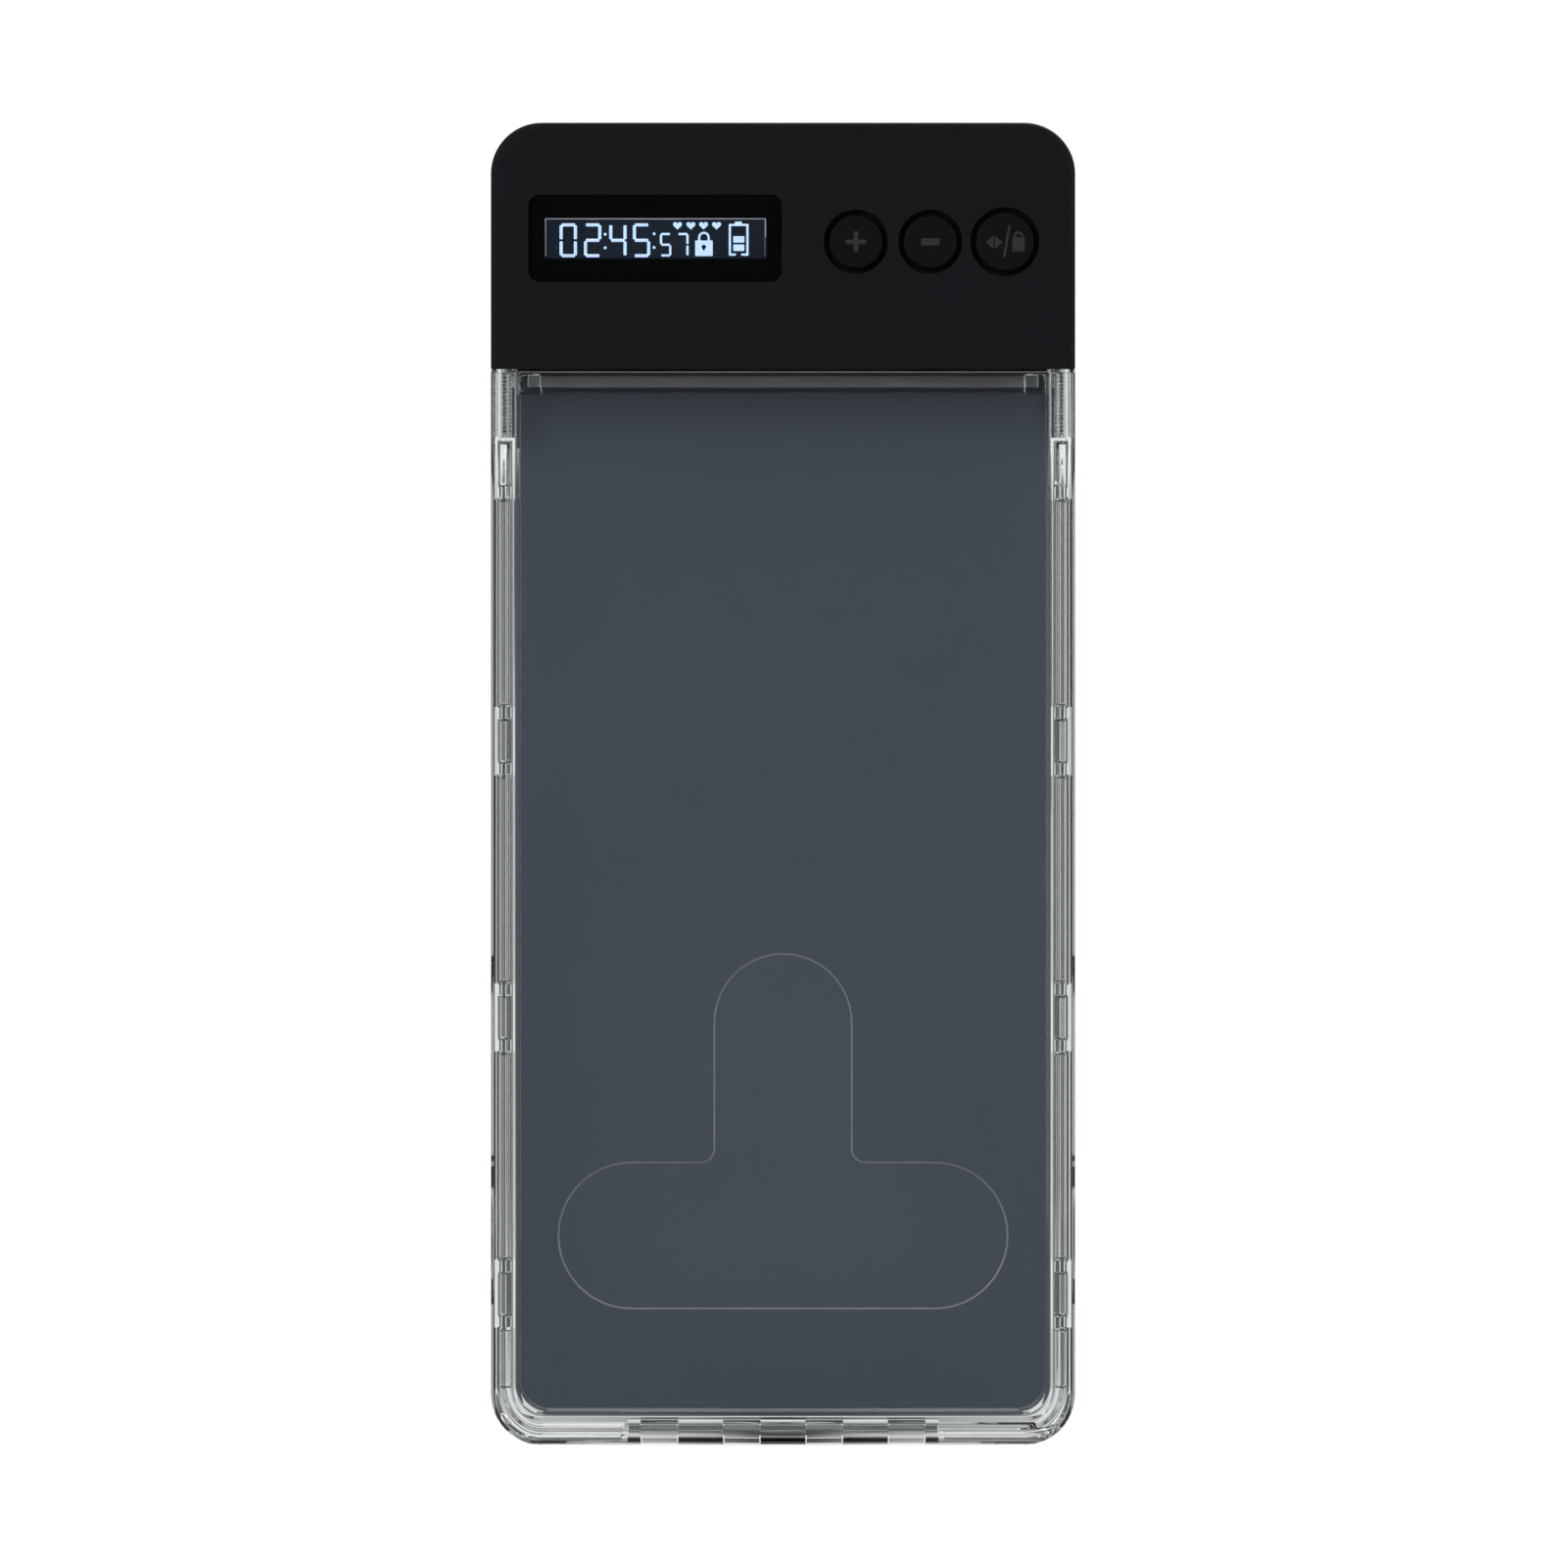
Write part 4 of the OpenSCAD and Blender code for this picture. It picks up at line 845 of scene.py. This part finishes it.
class LOCKCASE_OT_clear_parts(bpy.types.Operator):
    """Finish the clear tray and the clear flip-open cover"""

    bl_idname = "lock_case.clear_parts"
    bl_label = "Clear tray and cover"
    bl_options = {"REGISTER", "UNDO"}

    def execute(self, context):
        finish = context.scene.lock_case_finish
        body = clear_plastic("clear moulded tray", finish)
        lid = clear_plastic("clear moulded cover", finish, steps=finish.step_height)
        tray = eased_edges(merged_node("tray"), 2 * finish.edge_round, 4, where=self.cavity_rim)
        eased_edges(tray, finish.edge_round, 3)
        cover = eased_edges(merged_node("cover"), 1.6 * finish.edge_round, 4, where=self.tongue_side)
        eased_edges(cover, finish.edge_round, 3, curved=self.slot_side)
        # The chamfer round the touch slot gets an opaque grey: partly its ground finish, partly a painted
        # highlight for the light line round the slot
        for face in chamfer_faces(cover, CASE_FRONT_Y, 1.35 * MM, self.by_slot):
            face.material_index = 1
        ground = ground_edge("ground slot edge with painted highlight", finish.slot_edge_frost_and_highlight_colour)
        add_piece("clear_tray", tray, [body], "case", "clear_plastic", ["tray"])
        add_piece("clear_cover", cover, [lid, ground], "lid", "clear_plastic", ["cover"])
        return {"FINISHED"}

    @staticmethod
    def by_slot(place):
        """Whether a place lies round the touch slot"""
        return abs(place.x) < SLOT_HALF and SLOT_FOOT < place.z < SLOT_TOP

    @classmethod
    def slot_side(cls, edge):
        """The edges round the touch slot"""
        return all(cls.by_slot(v.co) for v in edge.verts)

    @staticmethod
    def cavity_rim(edge):
        """The front edge round the tray's cavity, which is more rounded than the rest"""
        return all(
            abs(v.co.y - TRAY_RIM_Y) < 0.05 * MM
            and abs(v.co.x) < CAVITY_HALF + 0.05 * MM
            and v.co.z > 5.3 * MM
            for v in edge.verts
        )

    @staticmethod
    def tongue_side(edge):
        """The outer long edges of the cover's tongues"""
        behind_rim = all(v.co.y > TRAY_RIM_Y + MM and abs(v.co.x) > 45.8 * MM for v in edge.verts)
        return behind_rim and edge.calc_length() > 5 * MM


class LOCKCASE_OT_liner(bpy.types.Operator):
    """Finish the soft liner on the tray's back"""

    bl_idname = "lock_case.liner"
    bl_label = "Liner"
    bl_options = {"REGISTER", "UNDO"}

    def execute(self, context):
        finish = context.scene.lock_case_finish
        cloth = soft_liner("slate liner", finish.liner_colour)
        bm = merged_node("liner")
        low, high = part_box("liner")
        # It fills the cavity from side to side, so that no light line shows beside it
        bmesh.ops.translate(bm, vec=-(low + high) / 2, verts=bm.verts)
        bmesh.ops.scale(bm, vec=(2 * CAVITY_HALF / (high.x - low.x) * 0.9993, 1.0, 1.0022), verts=bm.verts)
        bmesh.ops.translate(bm, vec=(low + high) / 2, verts=bm.verts)
        eased_edges(bm, 0.15 * MM)
        add_piece("soft_liner", bm, [cloth], "case", "slate_liner", ["liner"])
        # A slate sheet behind the strike bar, up to the head: painted reflection, which stands in for the
        # dark head that the clear top shows
        head_reflection_sheet = bmesh.new()
        verts = bmesh.ops.create_cube(head_reflection_sheet, size=1.0)["verts"]
        bmesh.ops.scale(head_reflection_sheet, vec=(2 * CAVITY_HALF - 0.1 * MM, 0.3 * MM, 3.3 * MM), verts=verts)
        bmesh.ops.translate(head_reflection_sheet, vec=(0, high.y - 0.16 * MM, high.z + 1.75 * MM), verts=verts)
        add_piece("painted_head_reflection_sheet", head_reflection_sheet, [cloth], "case", "slate_liner")
        return {"FINISHED"}


class LOCKCASE_OT_head(bpy.types.Operator):
    """Finish the two black shells of the head"""

    bl_idname = "lock_case.head"
    bl_label = "Head shells"
    bl_options = {"REGISTER", "UNDO"}

    def execute(self, context):
        finish = context.scene.lock_case_finish
        black = moulded_plastic("black moulded head", finish.head_colour, wear=0.25, specular=0.12)
        radius = 0.6 * finish.edge_round
        front = eased_edges(merged_node("head_front"), radius)
        rear = eased_edges(
            merged_node("head_rear"), radius, where=lambda edge: all(v.co.y > 0 for v in edge.verts)
        )
        add_piece("front_shell", front, [black], "case", "black_plastic", ["head_front"])
        add_piece("rear_shell", rear, [black], "case", "black_plastic", ["head_rear"])
        return {"FINISHED"}


class LOCKCASE_OT_display(bpy.types.Operator):
    """Finish the display: window, mask and lit segments"""

    bl_idname = "lock_case.display"
    bl_label = "Display"
    bl_options = {"REGISTER", "UNDO"}

    def execute(self, context):
        look = context.scene.lock_case_display
        bm = eased_edges(merged_node("display_window"), 0.2 * MM)
        for face in chamfer_faces(bm, WINDOW_FRONT_Y, 0.25 * MM):
            face.material_index = 1
        glass = [smoked_window("smoked window"), ground_edge("window edge", (0.024, 0.024, 0.025))]
        add_piece("smoked_window", bm, glass, "case", "dark_window", ["display_window"])
        black = (0.0012, 0.0012, 0.0013)
        mask = moulded_plastic("black window print", black, rough=(0.6, 0.75), specular=0.1)
        paint(mask, "display_mask")
        paint(display_ground("display ground"), "lcd_panel")
        lit = lit_print("lit segments", look.segment_colour, look.brightness)
        dark = moulded_plastic("unlit display print", (0.004, 0.005, 0.007), specular=0.1)
        rim = lit_print("display rim", (0.42, 0.38, 0.41), 0.75)
        for name, draw, thickness, behind, material, slot in (
            ("lit_segments", self.lit_segments, 0.04 * MM, 0.0, lit, "lit_segments"),
            ("keyhole", self.keyhole, 0.02 * MM, 0.04 * MM, dark, "black_print"),
            ("display_rim", self.display_rim, 0.10 * MM, 0.0, rim, "white_plastic"),
        ):
            bm = bmesh.new()
            draw(bm, look)
            thick_layer(bm, front_middle("display_mask"), LCD_FRONT_Y - behind, thickness)
            add_piece(name, bm, [material], "case", slot)
        return {"FINISHED"}

    def lit_segments(self, bm, look):
        """The time, the hearts, the padlock and the battery with its bars"""
        digits = (look.digits + "000000")[:6]
        for digit, left in zip(digits[:4], (-15.53, -11.57, -7.46, -3.62)):
            flat_digit(bm, digit, left, -3.04, 2.82, 5.51, 0.50)
        for digit, left in zip(digits[4:], (0.78, 3.58)):
            flat_digit(bm, digit, left, -2.93, 1.86, 3.84, 0.36)
        for across, up in ((-8.12, 0.70), (-8.12, -1.51), (-0.16, 0.76), (-0.16, -1.46)):
            flat_disc(bm, across, up, 0.23)
        for across in (3.65, 5.81, 7.88, 9.99)[: look.hearts]:
            flat_heart(bm, across, 2.03, 1.48, 1.28)
        flat_padlock(bm, (6.52, -2.85), (9.36, -0.32), 0.94, 0.34, 0.16)
        for low, high in (
            ((11.98, -2.79), (12.33, 2.38)),
            ((14.84, -2.79), (15.19, 2.38)),
            ((12.25, 2.03), (14.92, 2.38)),
            ((12.25, -2.79), (13.14, -2.44)),
            ((14.00, -2.79), (14.92, -2.44)),
            ((12.97, 2.30), (14.11, 2.75)),
        ):
            flat_bar(bm, low, high, 0.1)
        for bottom in (-2.02, -0.66, 0.70)[: look.charge]:
            flat_bar(bm, (12.71, bottom), (14.50, bottom + 1.04), 0.1)

    def keyhole(self, bm, look):
        """The dark keyhole in the lit padlock"""
        flat_disc(bm, 7.92, -1.37, 0.36)
        flat_bar(bm, (7.78, -1.95), (8.06, -1.40))

    def display_rim(self, bm, look):
        """The pale frame at the sides and the top of the display"""
        flat_bar(bm, (-18.0, -2.9), (-17.68, 3.28))
        flat_bar(bm, (17.72, -2.9), (18.02, 3.28))
        flat_bar(bm, (-18.0, 2.98), (18.02, 3.28))


class LOCKCASE_OT_buttons(bpy.types.Operator):
    """Finish the three button caps and print their symbols"""

    bl_idname = "lock_case.buttons"
    bl_label = "Buttons"
    bl_options = {"REGISTER", "UNDO"}

    def execute(self, context):
        finish = context.scene.lock_case_finish
        satin = moulded_plastic(
            "satin black caps", finish.button_colour, grain=4500.0, rough=(0.45, 0.58), depth=0.006 * MM,
            specular=0.1,
        )
        ink = moulded_plastic(
            "grey symbols", finish.symbol_colour, grain=5000.0, rough=(0.5, 0.6), specular=0.2
        )
        for name, body in BUTTON_BODIES.items():
            bm = merged_node(name)
            face_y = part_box(name)[0].y
            if name == "lock_button":
                face_y += self.sink_disc(bm, face_y)
            add_piece("finished_" + name, bm, [satin], body, "button_plastic", [name])
            bm = bmesh.new()
            getattr(self, name)(bm)
            thick_layer(bm, front_middle(name), face_y, 0.03 * MM)
            add_piece(name + "_symbol", bm, [ink], body, "grey_print")
        return {"FINISHED"}

    def sink_disc(self, bm, face_y):
        """Sinks the middle of the cap's face inside a narrow rim. Returns the depth."""
        depth = 0.10 * MM
        level = [f for f in bm.faces if abs(f.calc_center_median().y - face_y) < 0.02 * MM]
        face = max(level, key=lambda f: f.calc_area())
        for width in (0.28 * MM, 0.12 * MM):
            bmesh.ops.inset_region(bm, faces=[face], thickness=width, use_even_offset=True)
        bmesh.ops.translate(bm, vec=(0, depth, 0), verts=face.verts)
        return depth

    def plus_button(self, bm):
        """A plus sign, in three bars that don't cross"""
        flat_bar(bm, (-1.70, -0.375), (1.70, 0.375), 0.08)
        flat_bar(bm, (-0.375, 0.36), (0.375, 1.70), 0.08)
        flat_bar(bm, (-0.375, -1.70), (0.375, -0.36), 0.08)

    def minus_button(self, bm):
        """A minus sign"""
        flat_bar(bm, (-1.49, -0.57), (1.49, 0.57), 0.08)

    def lock_button(self, bm):
        """Two arrowheads, a slash and a padlock"""
        for side in (-1, 1):
            flat_disc(
                bm, -1.725 + side * 0.525, -0.05, 1.0, segments=3, turn=side * -90.0, grow=(1.26, 0.84)
            )
        verts = bmesh.ops.create_grid(bm, x_segments=1, y_segments=1, size=0.5)["verts"]
        placed(bm, verts, 0.32, 0.08, turn=-9.4, grow=(0.38, 5.3))
        flat_padlock(bm, (1.20, -1.57), (3.24, 0.79), 0.80, 0.42, 0.94)


class LOCKCASE_OT_small_parts(bpy.types.Operator):
    """Give every part that stays as it is its own material"""

    bl_idname = "lock_case.small_parts"
    bl_label = "Screws, lock drive and electronics"
    bl_options = {"REGISTER", "UNDO"}

    def execute(self, context):
        steel = metal("bright steel", (0.62, 0.63, 0.65))
        brass = metal("drawn brass", (0.72, 0.50, 0.20))
        blackened = metal("blackened steel", (0.06, 0.06, 0.065), rough=(0.35, 0.5))
        black = moulded_plastic("black inner parts", (0.012, 0.012, 0.013))
        white = moulded_plastic("white inner parts", (0.72, 0.72, 0.68), spread=0.04)
        foil = metal(
            "silver foil", (0.72, 0.74, 0.77), rough=(0.3, 0.45), lines=(1, 1, 1), scale=700.0,
            depth=0.02 * MM,
        )
        red = moulded_plastic("red lead", (0.40, 0.02, 0.015), rough=(0.35, 0.45))
        blue = moulded_plastic("blue lead", (0.02, 0.05, 0.35), rough=(0.35, 0.45))
        across = {"lines": (0.05, 1.0, 1.0), "scale": 1500.0, "depth": 0.001 * MM}
        ground = metal("ground steel", (0.42, 0.43, 0.44), rough=(0.34, 0.44), **across)
        polished = metal("polished pin", (0.74, 0.76, 0.76), rough=(0.2, 0.3), **across)
        bm = eased_edges(merged_node("strike_bar"), 0.15 * MM)
        add_piece("ground_strike_bar", bm, [ground], "lid", "steel", ["strike_bar"])
        bm = merged_node("case_screws")
        self.thread(bm)
        add_piece("threaded_case_screws", bm, [steel], "case", "steel", ["case_screws"])
        paint(polished, "hinge_pin")
        paint(steel, "lock_bolts", "bolt_rivets", "bolt_keeper", "output_shaft", "motor",
              "motor_bracket", "board_screws", "drive_screws", "usb_socket")
        paint(brass, "drive_pinion", "gearbox")
        paint(blackened, "housing_screws")
        paint(black, "board_chips", "buzzer", "usb_tongue", "switches", "plus_plunger", "minus_plunger",
              "lock_plunger", "motor_end_cap")
        paint(white, "backlight", "board_connectors", "battery_tape", "bolt_carriage")
        paint(foil, "battery")
        paint(red, "battery_leads")
        paint(blue, "motor_leads")
        paint(circuit_mask("green board"), "circuit_board")
        return {"FINISHED"}

    def thread(self, bm):
        """Turns down the case screws' shanks and winds a thread round each"""
        pitch, steps, core, buried = 0.62 * MM, 20, 0.74 * MM, 0.04 * MM
        shanks = {}
        for v in bm.verts:
            for axis in SCREW_AXES:
                reach = Vector((v.co.x - axis[0], v.co.y - axis[1]))
                if abs(reach.length - SCREW_R) < 0.02 * MM:
                    shanks.setdefault(axis, []).append(v.co.z)
                    v.co.x, v.co.y = axis[0] + reach.x * core / SCREW_R, axis[1] + reach.y * core / SCREW_R
        for axis, heights in shanks.items():
            tip, seat = min(heights), max(heights)
            turns = int((seat - tip - 0.5 * MM) / pitch)
            ridge = [
                bm.verts.new((axis[0] + r, axis[1], tip + 0.2 * MM + up * pitch))
                for r, up in ((core - buried, -0.38), (SCREW_R, 0.0), (core - buried, 0.38))
            ]
            face = bm.faces.new(ridge)
            bmesh.ops.spin(
                bm, geom=[face, *face.edges, *ridge], cent=(*axis, 0), axis=(0, 0, 1),
                dvec=(0, 0, pitch / steps), angle=math.tau * turns, steps=steps * turns,
                use_merge=False, use_duplicate=False,
            )
        bmesh.ops.recalc_face_normals(bm, faces=bm.faces)


class LOCKCASE_OT_stage(bpy.types.Operator):
    """Set the floor, the soft studio light and the camera"""

    bl_idname = "lock_case.stage"
    bl_label = "Stage"
    bl_options = {"REGISTER", "UNDO"}

    def execute(self, context):
        look = context.scene.lock_case_stage
        scene = context.scene
        scene.view_settings.view_transform = "Standard"
        self.floor()
        self.world(scene, look)
        self.lamps()
        camera = bpy.data.cameras.new("camera")
        camera.sensor_width = 36.0
        camera.lens = camera.sensor_width * look.camera_distance / look.picture_width
        camera.clip_start, camera.clip_end = 0.01, 100.0
        stand = bpy.data.objects.new("camera", camera)
        stand.location = (0.16 * MM, CASE_FRONT_Y - look.camera_distance, look.camera_height)
        stand.rotation_euler = (math.radians(90), 0, 0)
        scene.collection.objects.link(stand)
        scene.camera = stand
        return {"FINISHED"}

    def floor(self):
        """A pale floor that turns white for the camera, and shows in glass as the surroundings do"""
        bm = bmesh.new()
        bmesh.ops.create_grid(bm, x_segments=2, y_segments=2, size=40.0)
        mesh = bpy.data.meshes.new("floor")
        bm.to_mesh(mesh)
        bm.free()
        floor = bpy.data.objects.new("floor", mesh)
        bpy.context.scene.collection.objects.link(floor)
        material, tree, shader, place = blank_material("pale floor")
        path, optics = self.ray_kinds(tree)
        pale = mixed_colour(tree, noise(tree, place, 40.0, 3.0), (0.50, 0.50, 0.50), (0.53, 0.53, 0.53))
        feed(tree, shader.inputs["Base Color"], mixed_colour(tree, optics, pale, (0.0, 0.0, 0.0)))
        outwards = node(tree, "ShaderNodeVectorMath", {0: place}, operation="NORMALIZE").outputs[0]
        away = node(tree, "ShaderNodeVectorMath", {0: place}, operation="LENGTH").outputs["Value"]
        near = ranged(tree, away, 0.85, 0.0, 1.0, 2.0)
        glow = maths(tree, "MULTIPLY", optics, self.surroundings(tree, outwards, near))
        glow = maths(tree, "MAXIMUM", glow, maths(tree, "MULTIPLY", path["Is Camera Ray"], 0.74))
        feed(tree, shader.inputs["Emission Strength"], glow)
        set_plain(shader, Roughness=0.9, Specular_IOR_Level=0.0, Emission_Color=(1, 1, 1, 1))
        mesh.materials.append(material)

    def ray_kinds(self, tree):
        """Light Path's outputs, and whether the ray comes off gloss or through glass"""
        path = node(tree, "ShaderNodeLightPath").outputs
        return path, maths(tree, "MAXIMUM", path["Is Glossy Ray"], path["Is Transmission Ray"])

    def surroundings(self, tree, direction, near=0.0):
        """What glass and gloss show: white ahead, behind and to the sides, dark corners between them, and
        a dim room once the light has been reflected. On the floor it stays light near the case."""
        path = node(tree, "ShaderNodeLightPath")
        reflected = maths(tree, "GREATER_THAN", path.outputs["Glossy Depth"], 0.5)
        axes = node(tree, "ShaderNodeSeparateXYZ", {0: direction}).outputs
        ahead, aside = (maths(tree, "ABSOLUTE", axes[axis]) for axis in "YX")
        room = ranged(tree, ahead, 0.62, 0.075, 0.35, 0.94)
        behind = ranged(tree, maths(tree, "MAXIMUM", ahead, aside), 0.06, 1.0, 0.88, 0.99)
        behind = maths(tree, "MAXIMUM", behind, near)
        return node(tree, "ShaderNodeMix", {0: reflected, 2: behind, 3: room}).outputs[0]

    def world(self, scene, look):
        """White behind the object, an even light on it, and a dimmer room in its reflections"""
        world = scene.world or bpy.data.worlds.new("studio")
        scene.world = world
        world.use_nodes = True
        tree = world.node_tree
        tree.nodes.clear()
        path, optics = self.ray_kinds(tree)
        shown = self.surroundings(tree, node(tree, "ShaderNodeTexCoord").outputs["Generated"])
        level = node(tree, "ShaderNodeMix", {0: optics, 2: look.room_light, 3: shown}).outputs[0]
        level = node(tree, "ShaderNodeMix", {0: path["Is Camera Ray"], 2: level, 3: 1.0}).outputs[0]
        light = node(tree, "ShaderNodeBackground", {"Color": (1, 1, 1, 1), "Strength": level})
        out = node(tree, "ShaderNodeOutputWorld")
        tree.links.new(light.outputs[0], out.inputs["Surface"])

    def lamps(self):
        """Three soft square lamps, aimed at the middle of the case"""
        for name, place, size, power in (
            ("key lamp", (-0.65, -1.15, 0.5), 0.6, 4.4),
            ("fill lamp", (0.95, -0.7, 0.35), 0.7, 2.0),
            ("back lamp", (0.35, 0.9, 0.8), 0.7, 3.5),
        ):
            lamp = bpy.data.lights.new(name, "AREA")
            lamp.shape, lamp.size, lamp.energy = "SQUARE", size, power
            stand = bpy.data.objects.new(name, lamp)
            stand.location = place
            stand.rotation_euler = (Vector((0, 0, 0.1)) - Vector(place)).to_track_quat("-Z", "Y").to_euler()
            bpy.context.scene.collection.objects.link(stand)


class LOCKCASE_PT_panel(bpy.types.Panel):
    """Lists the steps and their settings"""

    bl_label = "Timed Lock Case"
    bl_idname = "LOCKCASE_PT_panel"
    bl_space_type = "VIEW_3D"
    bl_region_type = "UI"
    bl_category = "Lock Case"

    def draw(self, context):
        column = self.layout.column(align=True)
        for step in STEPS:
            column.operator(step.bl_idname)
        for settings in ("lock_case_finish", "lock_case_display", "lock_case_stage"):
            group = getattr(context.scene, settings)
            box = self.layout.box()
            for key in group.bl_rna.properties.keys():
                if key not in ("rna_type", "name"):
                    box.prop(group, key)


SETTINGS = {"lock_case_finish": CaseFinish, "lock_case_display": DisplayLook, "lock_case_stage": StageLook}
STEPS = (
    LOCKCASE_OT_clear_parts,
    LOCKCASE_OT_liner,
    LOCKCASE_OT_head,
    LOCKCASE_OT_display,
    LOCKCASE_OT_buttons,
    LOCKCASE_OT_small_parts,
    LOCKCASE_OT_stage,
)


def register():
    for cls in (*SETTINGS.values(), *STEPS, LOCKCASE_PT_panel):
        bpy.utils.register_class(cls)
    for key, cls in SETTINGS.items():
        setattr(bpy.types.Scene, key, PointerProperty(type=cls))


def unregister():
    for key in SETTINGS:
        delattr(bpy.types.Scene, key)
    for cls in reversed((*SETTINGS.values(), *STEPS, LOCKCASE_PT_panel)):
        bpy.utils.unregister_class(cls)


def main():
    register()
    for step in STEPS:
        family, _, name = step.bl_idname.partition(".")
        getattr(getattr(bpy.ops, family), name)()


if __name__ == "__main__":
    main()
